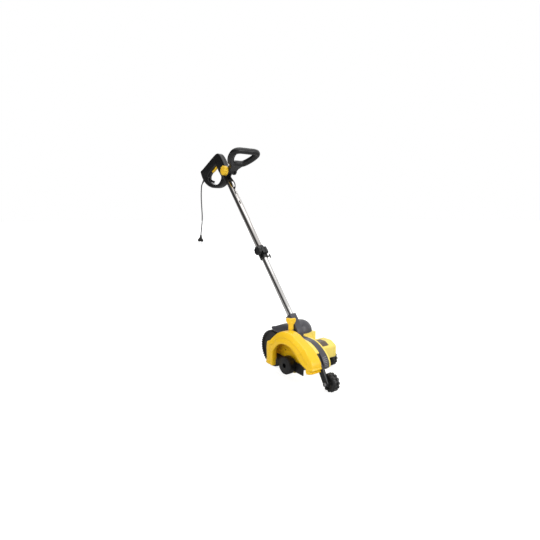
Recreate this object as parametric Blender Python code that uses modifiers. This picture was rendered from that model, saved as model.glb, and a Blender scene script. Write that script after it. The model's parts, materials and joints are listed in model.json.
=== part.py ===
"""An electric lawn edger: blade under a guard, geared motor, three wheels, telescopic tube, loop handle.

Metres. +X is the way it travels, +Y its left-hand side, +Z up. The origin is on the ground under the
middle of the big rear wheel.
"""
import math

import bmesh
import bpy
from mathutils import Matrix, Vector
from mathutils.geometry import interpolate_bezier

# Clearances and walls
GAP = 0.0003  # between pieces that touch or turn in one another
WALL = 0.0028  # moulded casings
FACETS = 24  # sides of a round piece

# Big rear wheel, on the origin's plane
REAR_RADIUS = 0.095
REAR_WIDTH = 0.036
REAR_RIBS = 44
REAR_RIB_DEPTH = 0.0025
REAR_RIB_SHARE = 0.52  # of the pitch
REAR_HUB_WIDTH = 0.042
REAR_HUB_RADIUS = 0.019
REAR_RECESS = 0.009
REAR_RIM = 0.011
REAR_AXLE_RADIUS = 0.005
FORK_ARM = 0.0075  # thickness of the fork's arms
FORK_HEIGHT = 0.046
FORK_END = 0.014  # behind the axle
FORK_END_HALF = 0.014
FORK_BRIDGE = 0.0035  # thickness of the web at the fork's root
WHEEL_CLEARANCE = 0.010  # between the wheel and the core's rear wall

# Small wheels, front and left
SMALL_RADIUS = 0.042
SMALL_WIDTH = 0.034
SMALL_LUGS = 13
SMALL_LUG_DEPTH = 0.0045
SMALL_LUG_SHARE = 0.58
SMALL_GROOVE = 0.003  # between the two rows of lugs
SMALL_HUB_RADIUS = 0.013
SMALL_AXLE_RADIUS = 0.004
FRONT_WHEEL = Vector((0.413, -0.008, SMALL_RADIUS))
LEFT_WHEEL = Vector((0.175, 0.228, SMALL_RADIUS))

# Blade and its arbor
BLADE_AXIS = Vector((0.202, 0.0, 0.079))
BLADE_Y = -0.0700
BLADE_LENGTH = 0.198
BLADE_HEIGHT = 0.050
BLADE_THICKNESS = 0.0032
BLADE_TILT = math.radians(3.0)
HUB_RADIUS = 0.043
HUB_DEPTH = 0.034
HUB_WALL = 0.003
HUB_RECESS_RADIUS = 0.015
ARBOR_RADIUS = 0.006
FLANGE_RADIUS = 0.022
FLANGE_THICKNESS = 0.004
FLANGE_HUB_RADIUS = 0.010
HUB_SEAT = 0.0045
BOLT_RADIUS = 0.004
BOLT_HEAD_RADIUS = 0.0085
BOLT_HEAD_HEIGHT = 0.0052
BOLT_DEPTH = 0.014

# Gear pair
MODULE = 0.0015
GEAR_TEETH = 54
PINION_TEETH = 22
GEAR_Y = -0.014  # middle of the face width
GEAR_WIDTH = 0.012
TOOTH_TIP_SHARE = 0.23  # of the pitch
TOOTH_ROOT_SHARE = 0.70
MOTOR_ANGLE = math.radians(66.0)  # of the motor's axis, seen from the arbor

# Core of the body: near shell, band and far shell, side by side
CORE_NEAR_Y = -0.0500
BAND_NEAR_Y = -0.0290
BAND_FAR_Y = 0.0050
CORE_FAR_Y = 0.0130
CORE_REAR_X = REAR_RADIUS + WHEEL_CLEARANCE
CORE_TOP_Z = 0.207
CORE_NOSE = ((0.262, 0.207), (0.300, 0.201), (0.336, 0.184), (0.366, 0.160), (0.386, 0.131), (0.389, 0.104))
CORE_BOTTOM_Z = 0.090
CORE_FOOT_Z = 0.060
NEAR_SHELL_FRONT_X = 0.357
WEB_FROM_X = 0.300
CORE_BOSS_RADIUS = 0.047  # round the driven gear
BEARING_RADIUS = 0.014
BEARING_WIDTH = 0.009
BEARING_WALL = 0.0035

# Blade guard: its rim on the core's side, and the arch in its outer face
GUARD_FACE_Y = -0.115
GUARD_CREASE_REAR_Y = -0.108
GUARD_CREASE_NOSE_Y = -0.088
GUARD_SKIN = 0.0025
GUARD_RIM = (
    (0.074, 0.060), (0.079, 0.074), (0.091, 0.086), (0.092, 0.106), (0.085, 0.128), (0.080, 0.150),
    (0.084, 0.171), (0.101, 0.193), (0.128, 0.214), (0.164, 0.231), (0.205, 0.236), (0.243, 0.229),
    (0.274, 0.215), (0.306, 0.200), (0.338, 0.183), (0.368, 0.158), (0.386, 0.136), (0.391, 0.112), (0.383, 0.092),
)
GUARD_ARCH = (
    (0.122, 0.060), (0.122, 0.078), (0.122, 0.094), (0.122, 0.108), (0.123, 0.121), (0.127, 0.135),
    (0.135, 0.147), (0.146, 0.158), (0.160, 0.170), (0.180, 0.182), (0.207, 0.189), (0.236, 0.189),
    (0.265, 0.181), (0.289, 0.166), (0.310, 0.147), (0.329, 0.131), (0.348, 0.122), (0.362, 0.117), (0.374, 0.110),
)
GUARD_LIP_DROP = 0.028  # the nose's lower lip
GUARD_LIP_IN = 0.018
PLATE_THICKNESS = 0.0025
PLATE_BORE_RADIUS = 0.0150
PLATE_HOLE = (0.150, 0.132, 0.0035)
PLATE_SLOT = (0.156, 0.102, 0.0035, 0.012)
COVER_RADIUS = 0.029
COVER_THICKNESS = 0.004

# Motor, lateral, behind the far shell
MOTOR_END_Y = 0.142
CAP_END_Y = 0.157
MOTOR_OUTLINE = (
    (0.162, 0.088, 0.012), (0.284, 0.088, 0.014), (0.284, 0.148, 0.012), (0.250, 0.168, 0.016),
    (0.196, 0.168, 0.016), (0.162, 0.150, 0.010),
)
MOTOR_SHAFT_RADIUS = 0.004
ROTOR_RADIUS = 0.0215
AIR_GAP = 0.0007
STACK = (0.050, 0.100)  # laminations, along Y
ROTOR_SLOTS = 12
COMMUTATOR_RADIUS = 0.0125
COMMUTATOR = (0.107, 0.126)
FAN_RADIUS = 0.032
FAN = (0.030, 0.043)
FAN_BLADES = 9
SMALL_BEARING_RADIUS = 0.011
SMALL_BEARING_WIDTH = 0.0085
SHAFT_HOLE_RADIUS = 0.012
VENT_LOW = Vector((0.108, 0.0156, 0.150))
VENT_HIGH = Vector((0.191, 0.108, CORE_TOP_Z))
LABEL = (0.201, 0.246, 0.070, 0.124)  # x from, x to, y from, y to
LABEL_THICKNESS = 0.0008

# Top cover: deck, dome, mudguard and knob boss
DOME_CENTRE = Vector((0.142, 0.046, CORE_TOP_Z))
DOME_RADII = Vector((0.052, 0.066, 0.060))
DOME_WALL = 0.003
DECK = (0.108, 0.214, -0.0470, 0.012)  # x from, x to, y from, y to
DECK_THICKNESS = 0.004
MUDGUARD = (  # x, height of the crown over the wheel's top, half width, drop of the edges
    (-0.014, 0.0175, 0.012, 0.003), (0.012, 0.0250, 0.029, 0.011), (0.048, 0.0390, 0.040, 0.027),
    (0.086, 0.0530, 0.044, 0.0425), (0.126, 0.0615, 0.045, 0.051), (0.150, 0.0640, 0.045, 0.0535),
)
MUDGUARD_SKIN = 0.0026
MUDGUARD_END = 0.003  # its front wall
KNOB_BOSS_RADIUS = 0.016
KNOB_BOSS_TOP_Z = 0.2350

# Depth knob and the front arm that its stud holds
KNOB_AT = Vector((0.170, -0.0370, 0.0))
KNOB_STEM_RADIUS = 0.0125
KNOB_STEM = 0.030
KNOB_HEAD_HALF_WIDTH = 0.023
KNOB_HEAD_HALF_THICKNESS = 0.0095
KNOB_HEAD = 0.027
STUD_RADIUS = 0.0035
STUD_FOOT_Z = 0.136  # low enough for the tail's whole travel
STUD_IN_KNOB = 0.022
KNOB_TURN = math.radians(50.0)
ARM_THICKNESS = 0.012
ARM_PIVOT = Vector((0.352, 0.0, 0.148))
ARM_EYE_RADIUS = 0.0155
ARM_HUB_RADIUS = 0.0150
ARM_TAIL_Z = 0.170  # middle of the tail, where the knob's stud passes through it
ARM_TAIL_HALF = 0.008
ARM_SLOT_PLAY = 0.005  # for the tail's arc
PIVOT_RADIUS = 0.004

# Left wheel's bracket: a bent flat bar under the motor
BRACKET_X = (0.157, 0.193)
BRACKET_THICKNESS = 0.004
BRACKET_FROM_Y = 0.062

# Tube, leaning back from the socket
TUBE_LEAN = math.radians(39.04)  # from the vertical
TUBE_FOOT = Vector((0.195, 0.0, 0.205))
LOWER_TUBE_RADIUS = 0.0160
UPPER_TUBE_RADIUS = 0.0175
TUBE_WALL = 0.0012
LOWER_TUBE = (0.030, 0.707)  # from and to, along the axis
UPPER_TUBE = (0.4873, 1.075)
SOCKET_RADIUS = 0.0225
SOCKET_BEND = 0.022  # where the socket turns from upright to the tube's lean
SOCKET_BEND_RADIUS = 0.039
SOCKET_TOP = 0.112
COLLAR = (0.451, 0.523)
COLLAR_STEP = 0.4870  # where the collar's bore widens from the lower tube to the upper
COLLAR_RADIUS = 0.0225
COLLAR_EARS = (0.467, 0.506)
COLLAR_SLIT = 0.003
CLAMP_BOLT = (0.0240, 0.4860)  # offset in front of the axis, and place along it
CLAMP_EAR_HALF_WIDTH = 0.0168
CLAMP_BOLT_RADIUS = 0.0030
CLAMP_NECK_RADIUS = 0.009
CLAMP_NECK = 0.0130
CLAMP_KNOB_RADIUS = 0.0235
CLAMP_KNOB_DEPTH = 0.019
CLAMP_LOBES = 8
PEG_AT = 0.463
PEG_LENGTH = 0.022

# Rear loop handle, in two halves
HANDLE_HALF_WIDTH = 0.0175
HANDLE_ROUND = 0.0055
HANDLE_WALL = 0.0030
HANDLE_OUTER = (
    (-0.540, 1.137), (-0.577, 1.124), (-0.642, 1.093), (-0.702, 1.064), (-0.735, 1.049), (-0.733, 1.035),
    (-0.719, 1.010), (-0.695, 0.984), (-0.662, 0.962), (-0.620, 0.946), (-0.576, 0.939), (-0.534, 0.938),
    (-0.495, 0.944), (-0.462, 0.960), (-0.438, 0.985), (-0.418, 1.006), (-0.396, 1.0115), (-0.3885, 1.0275),
    (-0.397, 1.044), (-0.424, 1.052), (-0.450, 1.064), (-0.467, 1.088), (-0.489, 1.114), (-0.513, 1.132),
)
HANDLE_HOLE = (
    (-0.553, 1.067), (-0.600, 1.043), (-0.636, 1.023), (-0.649, 1.006), (-0.639, 0.988), (-0.606, 0.969),
    (-0.566, 0.958), (-0.530, 0.961), (-0.504, 0.975), (-0.490, 0.996), (-0.502, 1.014), (-0.521, 1.034),
    (-0.538, 1.056),
)
SLEEVE_RADIUS = 0.0212
SLEEVE = (0.977, 1.081)
HOOK = ((-0.658, 1.000), (-0.654, 0.987), (-0.636, 0.984), (-0.610, 0.9765), (-0.588, 0.9715),
        (-0.586, 0.976),
        (-0.608, 0.9825), (-0.634, 0.991), (-0.646, 0.999))
HOOK_HALF_WIDTH = 0.006

# Trigger, switch and lock button in the grip
TRIGGER_PIVOT = Vector((-0.560, 0.0, 1.083))
TRIGGER_HALF_WIDTH = 0.0060
TRIGGER_OUTLINE = ((-0.5535, 1.0855), (-0.5555, 1.0620), (-0.5640, 1.0500), (-0.5800, 1.0410),
                   (-0.6040, 1.0310),
                   (-0.6110, 1.0385), (-0.6050, 1.0600), (-0.5900, 1.0690), (-0.5660, 1.0890))
TRIGGER_SLOT = ((-0.5500, 1.0910), (-0.5500, 1.0500), (-0.5700, 1.0380), (-0.6150, 1.0160),
                (-0.6190, 1.0380),
                (-0.6080, 1.0740), (-0.5680, 1.0950))
TRIGGER_PIN_RADIUS = 0.0025
SWITCH_CENTRE = Vector((-0.6285, 0.0, 1.0612))
SWITCH_SIZE = Vector((0.030, 0, 0.014))  # its width fills the handle's room
GRIP_SLOPE = math.radians(-25.0)  # of the grip, as a turn about +Y
BUTTON_AT = (-0.600, 1.0915)
BUTTON_RADIUS = 0.0065
BUTTON_STAND = 0.0035
BUTTON_LENGTH = 0.011

# Front D handle on the rear handle's lug
AUX_PIVOT = Vector((-0.409, 0.0, 1.0275))
AUX_LEAN = math.radians(28.0)
AUX_GRIP_RADIUS = 0.0148
AUX_LOOP = ((0.194, -0.048), (0.195, 0.0), (0.194, 0.048), (0.178, 0.072), (0.146, 0.070), (0.109, 0.052),
            (0.083, 0.030), (0.074, 0.0), (0.083, -0.030), (0.109, -0.052), (0.146, -0.070),
            (0.178, -0.072))
AUX_HUB_RADIUS = 0.0210
AUX_HALF_WIDTH = 0.0300
AUX_STEM_HALF = 0.0125
LUG_CLEARANCE = 0.0225
AUX_BOLT_RADIUS = 0.004
AUX_KNOB_RADIUS = 0.027
AUX_KNOB_DEPTH = 0.023
AUX_LOBES = 10

# Cables and plug
LEAD_RADIUS = 0.0030
LEAD_FRONT = 0.0262  # in front of the tube's axis
LEAD_TOP = 1.0130
LEAD_SWING = ((0, 0), (0, 0.013), (0.003, 0.033), (0.008, 0.058),
              (0.009, 0.078))  # out from the tube, and down it
GROMMET_AT = 0.921
GROMMET_RADIUS = 0.0062
GROMMET_LENGTH = 0.005
CORD_RADIUS = 0.0034
CORD_EXIT = Vector((-0.7130, 0.0, 1.0020))
CORD_LEAVES = Vector((-0.72, 0.0, -0.69)).normalized()
RELIEF_IN = 0.006
RELIEF_LENGTH = 0.034
RELIEF_RADIUS = 0.0065
CORD_ROUTE = ((-0.7545, 0.0, 0.9540), (-0.7595, 0.0, 0.9180), (-0.7605, 0.0, 0.8780),
              (-0.7565, 0.0, 0.8220), (-0.7530, 0.0, 0.7740),
              (-0.7570, 0.0, 0.7300), (-0.7665, 0.0, 0.6890))
PLUG_TOP = Vector((-0.7755, 0.0, 0.6500))
PLUG_DOWN = Vector((-0.180, 0.0, -0.984)).normalized()
PLUG_LENGTH = 0.042
PLUG_WIDTH = 0.0370
PLUG_DEPTH = 0.0137
PLUG_COLLAR = 0.024
PIN_SPACING = 0.0186
PIN_RADIUS = 0.0020
PIN_LENGTH = 0.019
PLUG_TURN = math.radians(52.0)  # of the row of pins, from +X

# Where the neighbours in a row meet
PLATE_NEAR_Y = CORE_NEAR_Y - GAP - PLATE_THICKNESS
COVER_NEAR_Y = PLATE_NEAR_Y - GAP - COVER_THICKNESS
BLADE_BACK_Y = BLADE_Y + BLADE_THICKNESS / 2
HUB_BACK_Y = BLADE_Y - BLADE_THICKNESS / 2 - GAP
HUB_FACE_Y = HUB_BACK_Y - HUB_DEPTH
MOTOR_NEAR_Y = CORE_FAR_Y + GAP
GEAR_CENTRES = MODULE * (GEAR_TEETH + PINION_TEETH) / 2
MOTOR_AXIS = BLADE_AXIS + GEAR_CENTRES * Vector((math.cos(MOTOR_ANGLE), 0, math.sin(MOTOR_ANGLE)))
STATOR_RADIUS = MOTOR_OUTLINE[3][1] - WALL - GAP - MOTOR_AXIS.z  # up to the housing's roof
TUBE_ALONG = Vector((-math.sin(TUBE_LEAN), 0, math.cos(TUBE_LEAN)))
ARM_NEAR_Y = KNOB_AT.y - ARM_THICKNESS / 2
ARM_FAR_Y = ARM_NEAR_Y + ARM_THICKNESS

SIDE = Matrix(((1, 0, 0, 0), (0, 0, -1, 0), (0, 1, 0, 0), (0, 0, 0, 1)))  # outlines in X and Z
PLAN = Matrix.Identity(4)  # outlines in X and Y
END = Matrix(((0, 0, 1, 0), (1, 0, 0, 0), (0, 1, 0, 0), (0, 0, 0, 1)))  # outlines in Y and Z


def start_scene():
    for obj in list(bpy.data.objects):
        bpy.data.objects.remove(obj)
    for name in ("electric_lawn_edger", "cutters"):
        bpy.context.scene.collection.children.link(bpy.data.collections.new(name))
    return bpy.data.collections["electric_lawn_edger"], bpy.data.collections["cutters"]


PARTS, CUTTERS = start_scene()


def material(name, colour, roughness, metallic=0.0):
    made = bpy.data.materials.new(name)
    made.use_nodes = True
    shader = made.node_tree.nodes["Principled BSDF"]
    shader.inputs["Base Color"].default_value = (*colour, 1.0)
    shader.inputs["Roughness"].default_value = roughness
    shader.inputs["Metallic"].default_value = metallic
    made.diffuse_color = (*colour, 1.0)
    return made


YELLOW = material("yellow plastic", (0.90, 0.52, 0.01), 0.35)
BLACK = material("black plastic", (0.022, 0.022, 0.024), 0.45)
RUBBER = material("black rubber", (0.018, 0.018, 0.018), 0.75)
CHROME = material("bright steel tube", (0.78, 0.78, 0.79), 0.12, 1.0)
STEEL = material("steel", (0.55, 0.55, 0.56), 0.32, 1.0)
DARK_STEEL = material("dark coated steel", (0.05, 0.05, 0.055), 0.40, 1.0)
COPPER = material("copper", (0.85, 0.42, 0.22), 0.35, 1.0)
LABEL_GREY = material("plain plate", (0.045, 0.045, 0.048), 0.5)


def lay(name, data, finish, origin=(0, 0, 0), parent=None):
    """A part in the part collection or, with no finish, a cutter that the build leaves out."""
    obj = bpy.data.objects.new(name, data)
    if finish is None:
        CUTTERS.objects.link(obj)
        obj.hide_render = True
        obj.display_type = "WIRE"
    else:
        PARTS.objects.link(obj)
        data.materials.clear()
        data.materials.append(finish)
    data.transform(Matrix.Translation(-Vector(origin)))
    obj.location = origin
    obj.parent = parent
    return obj


def frame(name, origin, lean):
    """An empty whose axes follow a leaning piece: its X turns up from +X by the lean."""
    empty = bpy.data.objects.new(name, None)
    PARTS.objects.link(empty)
    empty.location = origin
    empty.rotation_euler = (0, -lean, 0)
    return empty


def mesh_of(bm, name):
    bmesh.ops.recalc_face_normals(bm, faces=bm.faces)
    mesh = bpy.data.meshes.new(name)
    bm.to_mesh(mesh)
    bm.free()
    mesh.shade_smooth()
    mesh.set_sharp_from_angle(angle=math.radians(35))
    return mesh


def mesh_of_curve(name, curve, matrix):
    """The closed mesh of a curve, its caps welded to its sides."""
    helper = bpy.data.objects.new(name, curve)
    bpy.context.scene.collection.objects.link(helper)
    drawn = helper.evaluated_get(bpy.context.evaluated_depsgraph_get())
    mesh = bpy.data.meshes.new_from_object(drawn)
    bpy.data.objects.remove(helper)
    bm = bmesh.new()
    bm.from_mesh(mesh)
    bpy.data.meshes.remove(mesh)
    bmesh.ops.remove_doubles(bm, verts=bm.verts, dist=0.00001)
    bmesh.ops.transform(bm, matrix=matrix, verts=bm.verts)
    return mesh_of(bm, name)


def slab(name, finish, outlines, low, high, way=SIDE, edge=0.0, origin=(0, 0, 0), parent=None):
    """Flat outlines made solid from low to high, square to them; edge rounds the rims."""
    curve = bpy.data.curves.new(name, "CURVE")
    curve.dimensions = "2D"
    curve.fill_mode = "BOTH"
    curve.extrude = (high - low) / 2 - edge
    curve.bevel_depth = edge
    curve.bevel_resolution = 1
    curve.offset = -edge
    for outline in outlines:
        spline = curve.splines.new("POLY")
        spline.points.add(len(outline) - 1)
        for spot, place in zip(spline.points, outline):
            spot.co = (place[0], place[1], 0, 1)
        spline.use_cyclic_u = True
    middle = (low + high) / 2 * (-1 if way is SIDE else 1)
    mesh = mesh_of_curve(name, curve, way @ Matrix.Translation((0, 0, middle)))
    return lay(name, mesh, finish, origin, parent)


def box(name, finish, low, high, origin=(0, 0, 0), parent=None, turn=0.0):
    low, high = Vector(low), Vector(high)
    bm = bmesh.new()
    bmesh.ops.create_cube(bm, size=1)
    size = Matrix.Diagonal((*(high - low), 1))
    spin = Matrix.Rotation(turn, 4, "Y")
    bmesh.ops.transform(bm, matrix=Matrix.Translation((low + high) / 2) @ spin @ size, verts=bm.verts)
    return lay(name, mesh_of(bm, name), finish, origin, parent)


def rod(name, finish, start, end, radius, end_radius=None, sides=FACETS, origin=(0, 0, 0), parent=None):
    start, end = Vector(start), Vector(end)
    along = end - start
    bm = bmesh.new()
    bmesh.ops.create_cone(
        bm, cap_ends=True, segments=sides, radius1=radius,
        radius2=radius if end_radius is None else end_radius,
        depth=along.length,
    )
    turn = along.to_track_quat("Z", "Y").to_matrix().to_4x4()
    bmesh.ops.transform(bm, matrix=Matrix.Translation((start + end) / 2) @ turn, verts=bm.verts)
    return lay(name, mesh_of(bm, name), finish, origin, parent)


def turned(name, finish, profile, centre, axis="Y", sides=FACETS, closed=False, parent=None):
    """A profile of (radius, height) points turned about an axis, its outer side listed from the top down."""
    mesh = bpy.data.meshes.new(name)
    spots = [(radius, 0, height) for radius, height in profile]
    edges = [(i, i + 1) for i in range(len(spots) - 1)]
    if closed:
        edges.append((len(spots) - 1, 0))
    mesh.from_pydata(spots, edges, [])
    obj = lay(name, mesh, finish)
    obj.location = centre
    obj.rotation_euler = (-math.pi / 2, 0, 0) if axis == "Y" else (0, 0, 0)
    obj.parent = parent
    screw = obj.modifiers.new("turn", "SCREW")
    screw.steps = screw.render_steps = sides
    screw.use_merge_vertices = True
    screw.merge_threshold = 0.00001
    return obj


def ring(name, finish, outer, inner, low, high, centre, axis="Y", sides=FACETS, parent=None):
    profile = ((outer, high), (outer, low), (inner, low), (inner, high))
    return turned(name, finish, profile, centre, axis, sides, closed=True, parent=parent)


def tube(name, finish, points, radius, resolution=2, parent=None):
    """A round cable along a list of points."""
    curve = bpy.data.curves.new(name, "CURVE")
    curve.dimensions = "3D"
    curve.bevel_depth = radius
    curve.bevel_resolution = resolution
    curve.use_fill_caps = True
    spline = curve.splines.new("POLY")
    spline.points.add(len(points) - 1)
    for spot, place in zip(spline.points, points):
        spot.co = (*place, 1)
    return lay(name, mesh_of_curve(name, curve, Matrix.Identity(4)), finish, parent=parent)


def boolean(obj, other, operation):
    step = obj.modifiers.new(operation.lower(), "BOOLEAN")
    step.operation = operation
    step.object = other
    step.solver = "EXACT"


def cut(obj, *others):
    for other in others:
        boolean(obj, other, "DIFFERENCE")


def join(obj, *others):
    for other in others:
        boolean(obj, other, "UNION")


def circle(x, z, radius, sides=FACETS, start=0.0):
    angles = [start + 2 * math.pi * k / sides for k in range(sides)]
    return [(x + radius * math.cos(a), z + radius * math.sin(a)) for a in angles]


def rounded(corners, steps=3):
    """A closed outline whose corners (x, z, radius) are arcs."""
    outline = []
    for k, (x, z, radius) in enumerate(corners):
        here = Vector((x, z))
        into = (Vector(corners[k - 1][:2]) - here).normalized()
        out = (Vector(corners[(k + 1) % len(corners)][:2]) - here).normalized()
        half = into.angle(out) / 2
        middle = here + (into + out).normalized() * radius / math.sin(half)
        first = here + into * radius / math.tan(half) - middle
        last = here + out * radius / math.tan(half) - middle
        sweep = math.atan2(first.cross(last), first.dot(last))
        for step in range(steps + 1):
            outline.append(tuple(middle + Matrix.Rotation(sweep * step / steps, 2) @ first))
    return outline


def through(points, per_span=3, closed=True):
    """A smooth line through the points, in two or three dimensions."""
    spots = [Vector((*point, 0)[:3]) for point in points]
    count = len(spots)
    line = []
    for k in range(count if closed else count - 1):
        before = spots[k - 1] if closed or k else spots[0]
        after = spots[(k + 2) % count] if closed or k + 2 < count else spots[-1]
        here, there = spots[k], spots[(k + 1) % count]
        line += interpolate_bezier(here, here + (there - before) / 6, there - (after - here) / 6, there,
                                   per_span + 1)[:-1]
    if not closed:
        line.append(spots[-1])
    return [tuple(spot)[: len(points[0])] for spot in line]


def inset(outline, distance):
    """A closed outline drawn in by a distance, or out if it is negative."""
    area = sum(a[0] * b[1] - b[0] * a[1] for a, b in zip(outline, outline[1:] + outline[:1]))
    side = distance if area > 0 else -distance
    moved = []
    for k, here in enumerate(outline):
        here = Vector(here)
        into = (here - Vector(outline[k - 1])).normalized()
        out = (Vector(outline[(k + 1) % len(outline)]) - here).normalized()
        normal = (Vector((-into.y, into.x)) + Vector((-out.y, out.x))).normalized()
        moved.append(tuple(here + normal * side / max(0.5, normal.dot(Vector((-into.y, into.x))))))
    return moved


def toothed(x, z, tip, root, count, share, start, root_share=None):
    """A ring of teeth round (x, z), the first at the start angle; the tips keep their radius in the middle."""
    pitch = 2 * math.pi / count
    top, foot = pitch * share / 2, pitch * (root_share or share) / 2
    outline = []
    for k in range(count):
        centre = start + k * pitch
        for offset, radius in ((-foot, root), (-top, tip), (top, tip), (foot, root)):
            reach = radius / math.cos(top) if radius == tip else radius
            outline.append((x + reach * math.cos(centre + offset), z + reach * math.sin(centre + offset)))
    return outline


def rear_wheel():
    """Moulded wheel with fine ribs across its tread, standing on the middle of one rib."""
    tread = toothed(0, REAR_RADIUS, REAR_RADIUS, REAR_RADIUS - REAR_RIB_DEPTH, REAR_RIBS, REAR_RIB_SHARE,
                    -math.pi / 2)
    hub = Vector((0, 0, REAR_RADIUS))
    bore = REAR_AXLE_RADIUS + GAP
    wheel = slab("rear_wheel", RUBBER, [tread], -REAR_WIDTH / 2, REAR_WIDTH / 2, origin=hub)
    out = REAR_HUB_WIDTH / 2
    for side in (-1, 1):
        low, high = sorted((side * (REAR_WIDTH / 2 - REAR_RECESS), side * (REAR_WIDTH / 2 + 0.01)))
        outer = REAR_RADIUS - REAR_RIB_DEPTH - REAR_RIM
        cut(wheel, ring("wheel recess", None, outer, REAR_HUB_RADIUS, low, high, hub))
    join(wheel, ring("wheel hub", None, REAR_HUB_RADIUS - 0.001, bore - 0.001, -out, out, hub))
    cut(wheel, rod("wheel bore", None, (0, -0.05, REAR_RADIUS), (0, 0.05, REAR_RADIUS), bore))


def rear_fork():
    """Fork from the core's rear wall to the big wheel's axle."""
    inner = REAR_HUB_WIDTH / 2 + GAP
    outer = inner + FORK_ARM
    front, rear = CORE_REAR_X - GAP, -FORK_END
    bridge = front - FORK_BRIDGE
    plan = [(front, -outer), (front, outer), (rear, outer), (rear, inner), (bridge, inner),
            (bridge, -inner),
            (rear, -inner), (rear, -outer)]
    middle = REAR_RADIUS + 0.006
    half = FORK_HEIGHT / 2
    fork = slab("rear_fork", BLACK, [plan], middle - 2 * half, middle + 2 * half, way=PLAN)
    low, high, past = REAR_RADIUS - FORK_END_HALF, REAR_RADIUS + FORK_END_HALF, front + 0.01
    side = rounded(((rear, low, FORK_END_HALF - 0.002), (past, middle - half, 0.002),
                    (past, middle + half, 0.002),
                    (rear, high, FORK_END_HALF - 0.002)))
    boolean(fork, slab("fork side view", None, [side], -0.1, 0.1), "INTERSECT")
    cut(fork, rod("fork bore", None, (0, -0.1, REAR_RADIUS), (0, 0.1, REAR_RADIUS), REAR_AXLE_RADIUS + GAP))
    end = outer + GAP
    head = 0.008
    profile = ((0, end + 0.004), (head, end + 0.004), (head, end), (REAR_AXLE_RADIUS, end),
               (REAR_AXLE_RADIUS, -end),
               (head, -end), (head, -end - 0.004), (0, -end - 0.004))
    turned("rear_axle", STEEL, profile, (0, 0, REAR_RADIUS))


def small_wheel(name, centre):
    """Small wheel with two rows of lugs, set half a pitch apart."""
    low, high = centre.y - SMALL_WIDTH / 2, centre.y + SMALL_WIDTH / 2
    root = SMALL_RADIUS - SMALL_LUG_DEPTH
    wheel = ring(name, RUBBER, root, SMALL_AXLE_RADIUS + GAP, -SMALL_WIDTH / 2, SMALL_WIDTH / 2, centre)
    pitch = 2 * math.pi / SMALL_LUGS
    rows = ((low + 0.0015, centre.y - SMALL_GROOVE / 2, 0), (centre.y + SMALL_GROOVE / 2, high - 0.0015,
            pitch / 2))
    for row, (start, end, shift) in enumerate(rows):
        lugs = lug_outline(centre, -math.pi / 2 + shift)
        band = slab(f"{name} lugs {row}", None, [lugs, circle(centre.x, centre.z, root - 0.003)], start,
                    end)
        join(wheel, band)
    for side in (-1, 1):
        low_cut, high_cut = sorted((side * (SMALL_WIDTH / 2 - 0.006), side * (SMALL_WIDTH / 2 + 0.01)))
        cut(wheel, ring(f"{name} recess {side}", None, root - 0.010, SMALL_HUB_RADIUS, low_cut, high_cut,
                        centre))


def lug_outline(centre, start):
    """Lugs whose tops are arcs of the tread."""
    pitch = 2 * math.pi / SMALL_LUGS
    half = pitch * SMALL_LUG_SHARE / 2
    outline = []
    for k in range(SMALL_LUGS):
        middle = start + k * pitch
        root = SMALL_RADIUS - SMALL_LUG_DEPTH - 0.001
        for offset, radius in ((-half * 1.15, root), (-half, SMALL_RADIUS), (0, SMALL_RADIUS),
                               (half, SMALL_RADIUS),
                               (half * 1.15, root)):
            angle = middle + offset
            outline.append((centre.x + radius * math.cos(angle), centre.z + radius * math.sin(angle)))
    return outline


def left_bracket():
    """Bent flat bar from under the motor to the left wheel, and that wheel's axle."""
    top = MOTOR_OUTLINE[0][1] - GAP
    thick = BRACKET_THICKNESS
    wheel_face = LEFT_WHEEL.y - SMALL_WIDTH / 2
    face = wheel_face - 0.004
    knee = CAP_END_Y + 0.004
    foot = LEFT_WHEEL.z - 0.016
    bar = [(BRACKET_FROM_Y, top), (knee, top), (face, LEFT_WHEEL.z + 0.030), (face, foot),
           (face - thick, foot),
           (face - thick, LEFT_WHEEL.z + 0.0285), (knee - 0.0015, top - thick),
           (BRACKET_FROM_Y, top - thick)]
    bracket = slab("left_bracket", DARK_STEEL, [bar], *BRACKET_X, way=END)
    bore = SMALL_AXLE_RADIUS + GAP
    cut(bracket, rod("bracket bore", None, (LEFT_WHEEL.x, face - 0.02, LEFT_WHEEL.z),
                     (LEFT_WHEEL.x, face + 0.01, LEFT_WHEEL.z), bore))
    inner = face - thick - GAP
    spacer = wheel_face - GAP
    outer = LEFT_WHEEL.y + SMALL_WIDTH / 2 + GAP
    shift = LEFT_WHEEL.y
    head, shank = 0.008, SMALL_AXLE_RADIUS
    profile = ((0, outer + 0.004), (head, outer + 0.004), (head, outer), (shank, outer), (shank, spacer),
               (head, spacer),
               (head, face + GAP), (shank, face + GAP), (shank, inner), (head, inner),
               (head, inner - 0.004), (0, inner - 0.004))
    turned("left_axle", STEEL, [(radius, y - shift) for radius, y in profile], LEFT_WHEEL)


def arc(x, z, radius, first, last, steps):
    """Points along an arc, from the first angle to the last, in degrees."""
    angles = [math.radians(first + (last - first) * k / steps) for k in range(steps + 1)]
    return [(x + radius * math.cos(angle), z + radius * math.sin(angle)) for angle in angles]


def core_nose(front_x):
    """The core's front and top edge from the front back to the flat top, as far forward as front_x."""
    return [spot for spot in through(CORE_NOSE, 3,
                                     closed=False) if spot[0] <= front_x or spot[1] < CORE_BOTTOM_Z][::-1]


def core_foot():
    return arc(BLADE_AXIS.x, BLADE_AXIS.z, CORE_BOSS_RADIUS, 205, 335, 12)


def core_rear():
    x, top = CORE_REAR_X, CORE_TOP_Z
    return [(x + 0.010, top), (x, top - 0.010), (x, CORE_FOOT_Z + 0.004), (x + 0.004, CORE_FOOT_Z)]


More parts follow.
